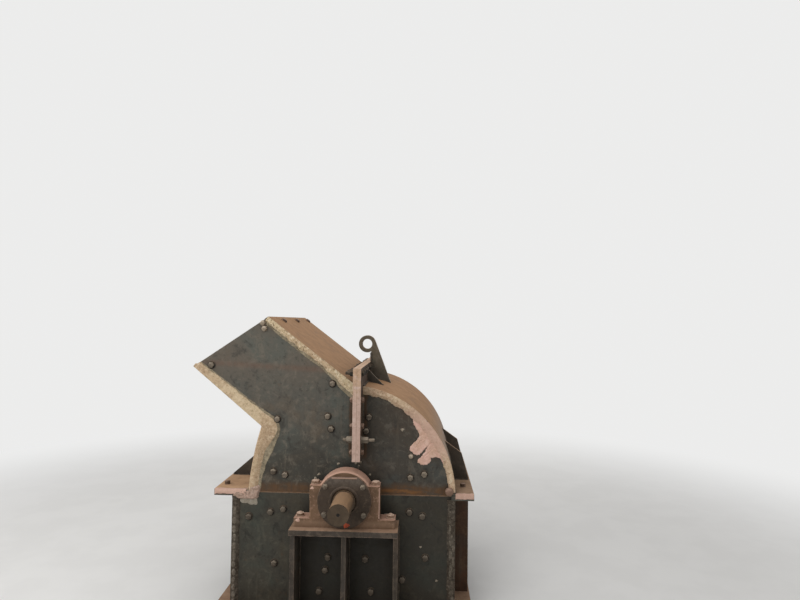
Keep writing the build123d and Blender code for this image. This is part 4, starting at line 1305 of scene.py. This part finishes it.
studio = {
    "floor": (0.80, 0.79, 0.77, 1),
    "floorWorn": (0.72, 0.71, 0.69, 1),
    "backdrop": (0.84, 0.84, 0.835, 1),
    "reach": 40,  # metres from the middle to the floor's edge
    "floorFade": (2.2, 5.0),  # metres from the middle, where the floor turns into the backdrop
    "ambient": 0.34,
}
lamps = {
    "overhead": {"place": (-0.7, -1.3, 4.6), "aim": (0, 0, 0.5), "size": 4.2, "watts": 62},
    "front": {"place": (-2.4, -4.4, 3.0), "aim": (0, 0, 0.7), "size": 3.2, "watts": 76},
    "left": {"place": (-4.3, -1.0, 3.0), "aim": (0, 0, 0.7), "size": 2.6, "watts": 44},
    "right": {"place": (4.4, -1.6, 2.6), "aim": (0, 0, 0.7), "size": 3.0, "watts": 20},
    "rear": {"place": (0.5, 4.6, 3.0), "aim": (0, 0, 0.7), "size": 3.5, "watts": 60},
}
floorMesh = bpy.data.meshes.new("studioFloor")
corners = [(x * studio["reach"], y * studio["reach"], 0) for x, y in ((-1, -1), (1, -1), (1, 1), (-1, 1))]
floorMesh.from_pydata(corners, [], [(0, 1, 2, 3)])
floor = bpy.data.objects.new("studioFloor", floorMesh)
bpy.context.scene.collection.objects.link(floor)
tree = FinishTree("studioFloor")
speck = tree.cloud(3, 3)
tree.colour = tree.blend(tree.ramp(speck, 0.4, 0.6, 0, 0.3), studio["floor"], studio["floorWorn"])
floorMesh.materials.append(tree.finish(0.9, tree.bump(speck, 0.0005)))
farAway = tree.add("VectorMath", {0: tree.place}, operation="LENGTH").outputs["Value"]
fade = tree.times(tree.ramp(farAway, *studio["floorFade"]), tree.seen())
glow = tree.add("Emission", {"Color": studio["backdrop"]})
fadeMix = tree.add("MixShader", {"Fac": fade, 1: tree.shader.outputs["BSDF"], 2: glow.outputs["Emission"]})
tree.join(tree.output.inputs["Surface"], fadeMix.outputs["Shader"])

world = bpy.data.worlds.new("studioWorld")
bpy.context.scene.world = world
sky = NodeTree(world)
ambient = sky.add("Background", {"Color": (1, 1, 1, 1), "Strength": studio["ambient"]})
backdrop = sky.add("Background", {"Color": studio["backdrop"]})
pick = sky.add("MixShader", {
    "Fac": sky.seen(), 1: ambient.outputs["Background"], 2: backdrop.outputs["Background"],
})
sky.add("OutputWorld", {"Surface": pick.outputs["Shader"]})

for lampName, lamp in lamps.items():
    data = bpy.data.lights.new(lampName, "AREA")
    data.shape = "SQUARE"
    data.size = lamp["size"]
    data.energy = lamp["watts"]
    light = bpy.data.objects.new(lampName, data)
    bpy.context.scene.collection.objects.link(light)
    light.location = lamp["place"]
    aim = Vector(lamp["aim"]) - Vector(lamp["place"])
    light.rotation_euler = aim.to_track_quat("-Z", "Y").to_euler()

# Camera at the photograph's viewing angle, frame taken as 800 by 600
viewpoint = {"place": (0.455, -3.261, 1.492), "lens": 24.75, "yaw": 2.32, "pitch": 2.26, "roll": 0.65}
yaw, pitch, roll = (math.radians(viewpoint[key]) for key in ("yaw", "pitch", "roll"))
forward = Vector((-math.sin(yaw) * math.cos(pitch), math.cos(yaw) * math.cos(pitch), math.sin(pitch)))
rightward = Vector((math.cos(yaw), math.sin(yaw), 0))
upward = rightward.cross(forward)
right = rightward * math.cos(roll) + upward * math.sin(roll)
up = upward * math.cos(roll) - rightward * math.sin(roll)
cameraData = bpy.data.cameras.new("photoView")
cameraData.sensor_width = 36
cameraData.lens = viewpoint["lens"]
cameraData.clip_end = 100
camera = bpy.data.objects.new("photoView", cameraData)
bpy.context.scene.collection.objects.link(camera)
turned = Matrix((right, up, -forward)).transposed().to_4x4()
camera.matrix_world = Matrix.Translation(viewpoint["place"]) @ turned
bpy.context.scene.camera = camera
bpy.context.scene.view_settings.view_transform = "Standard"
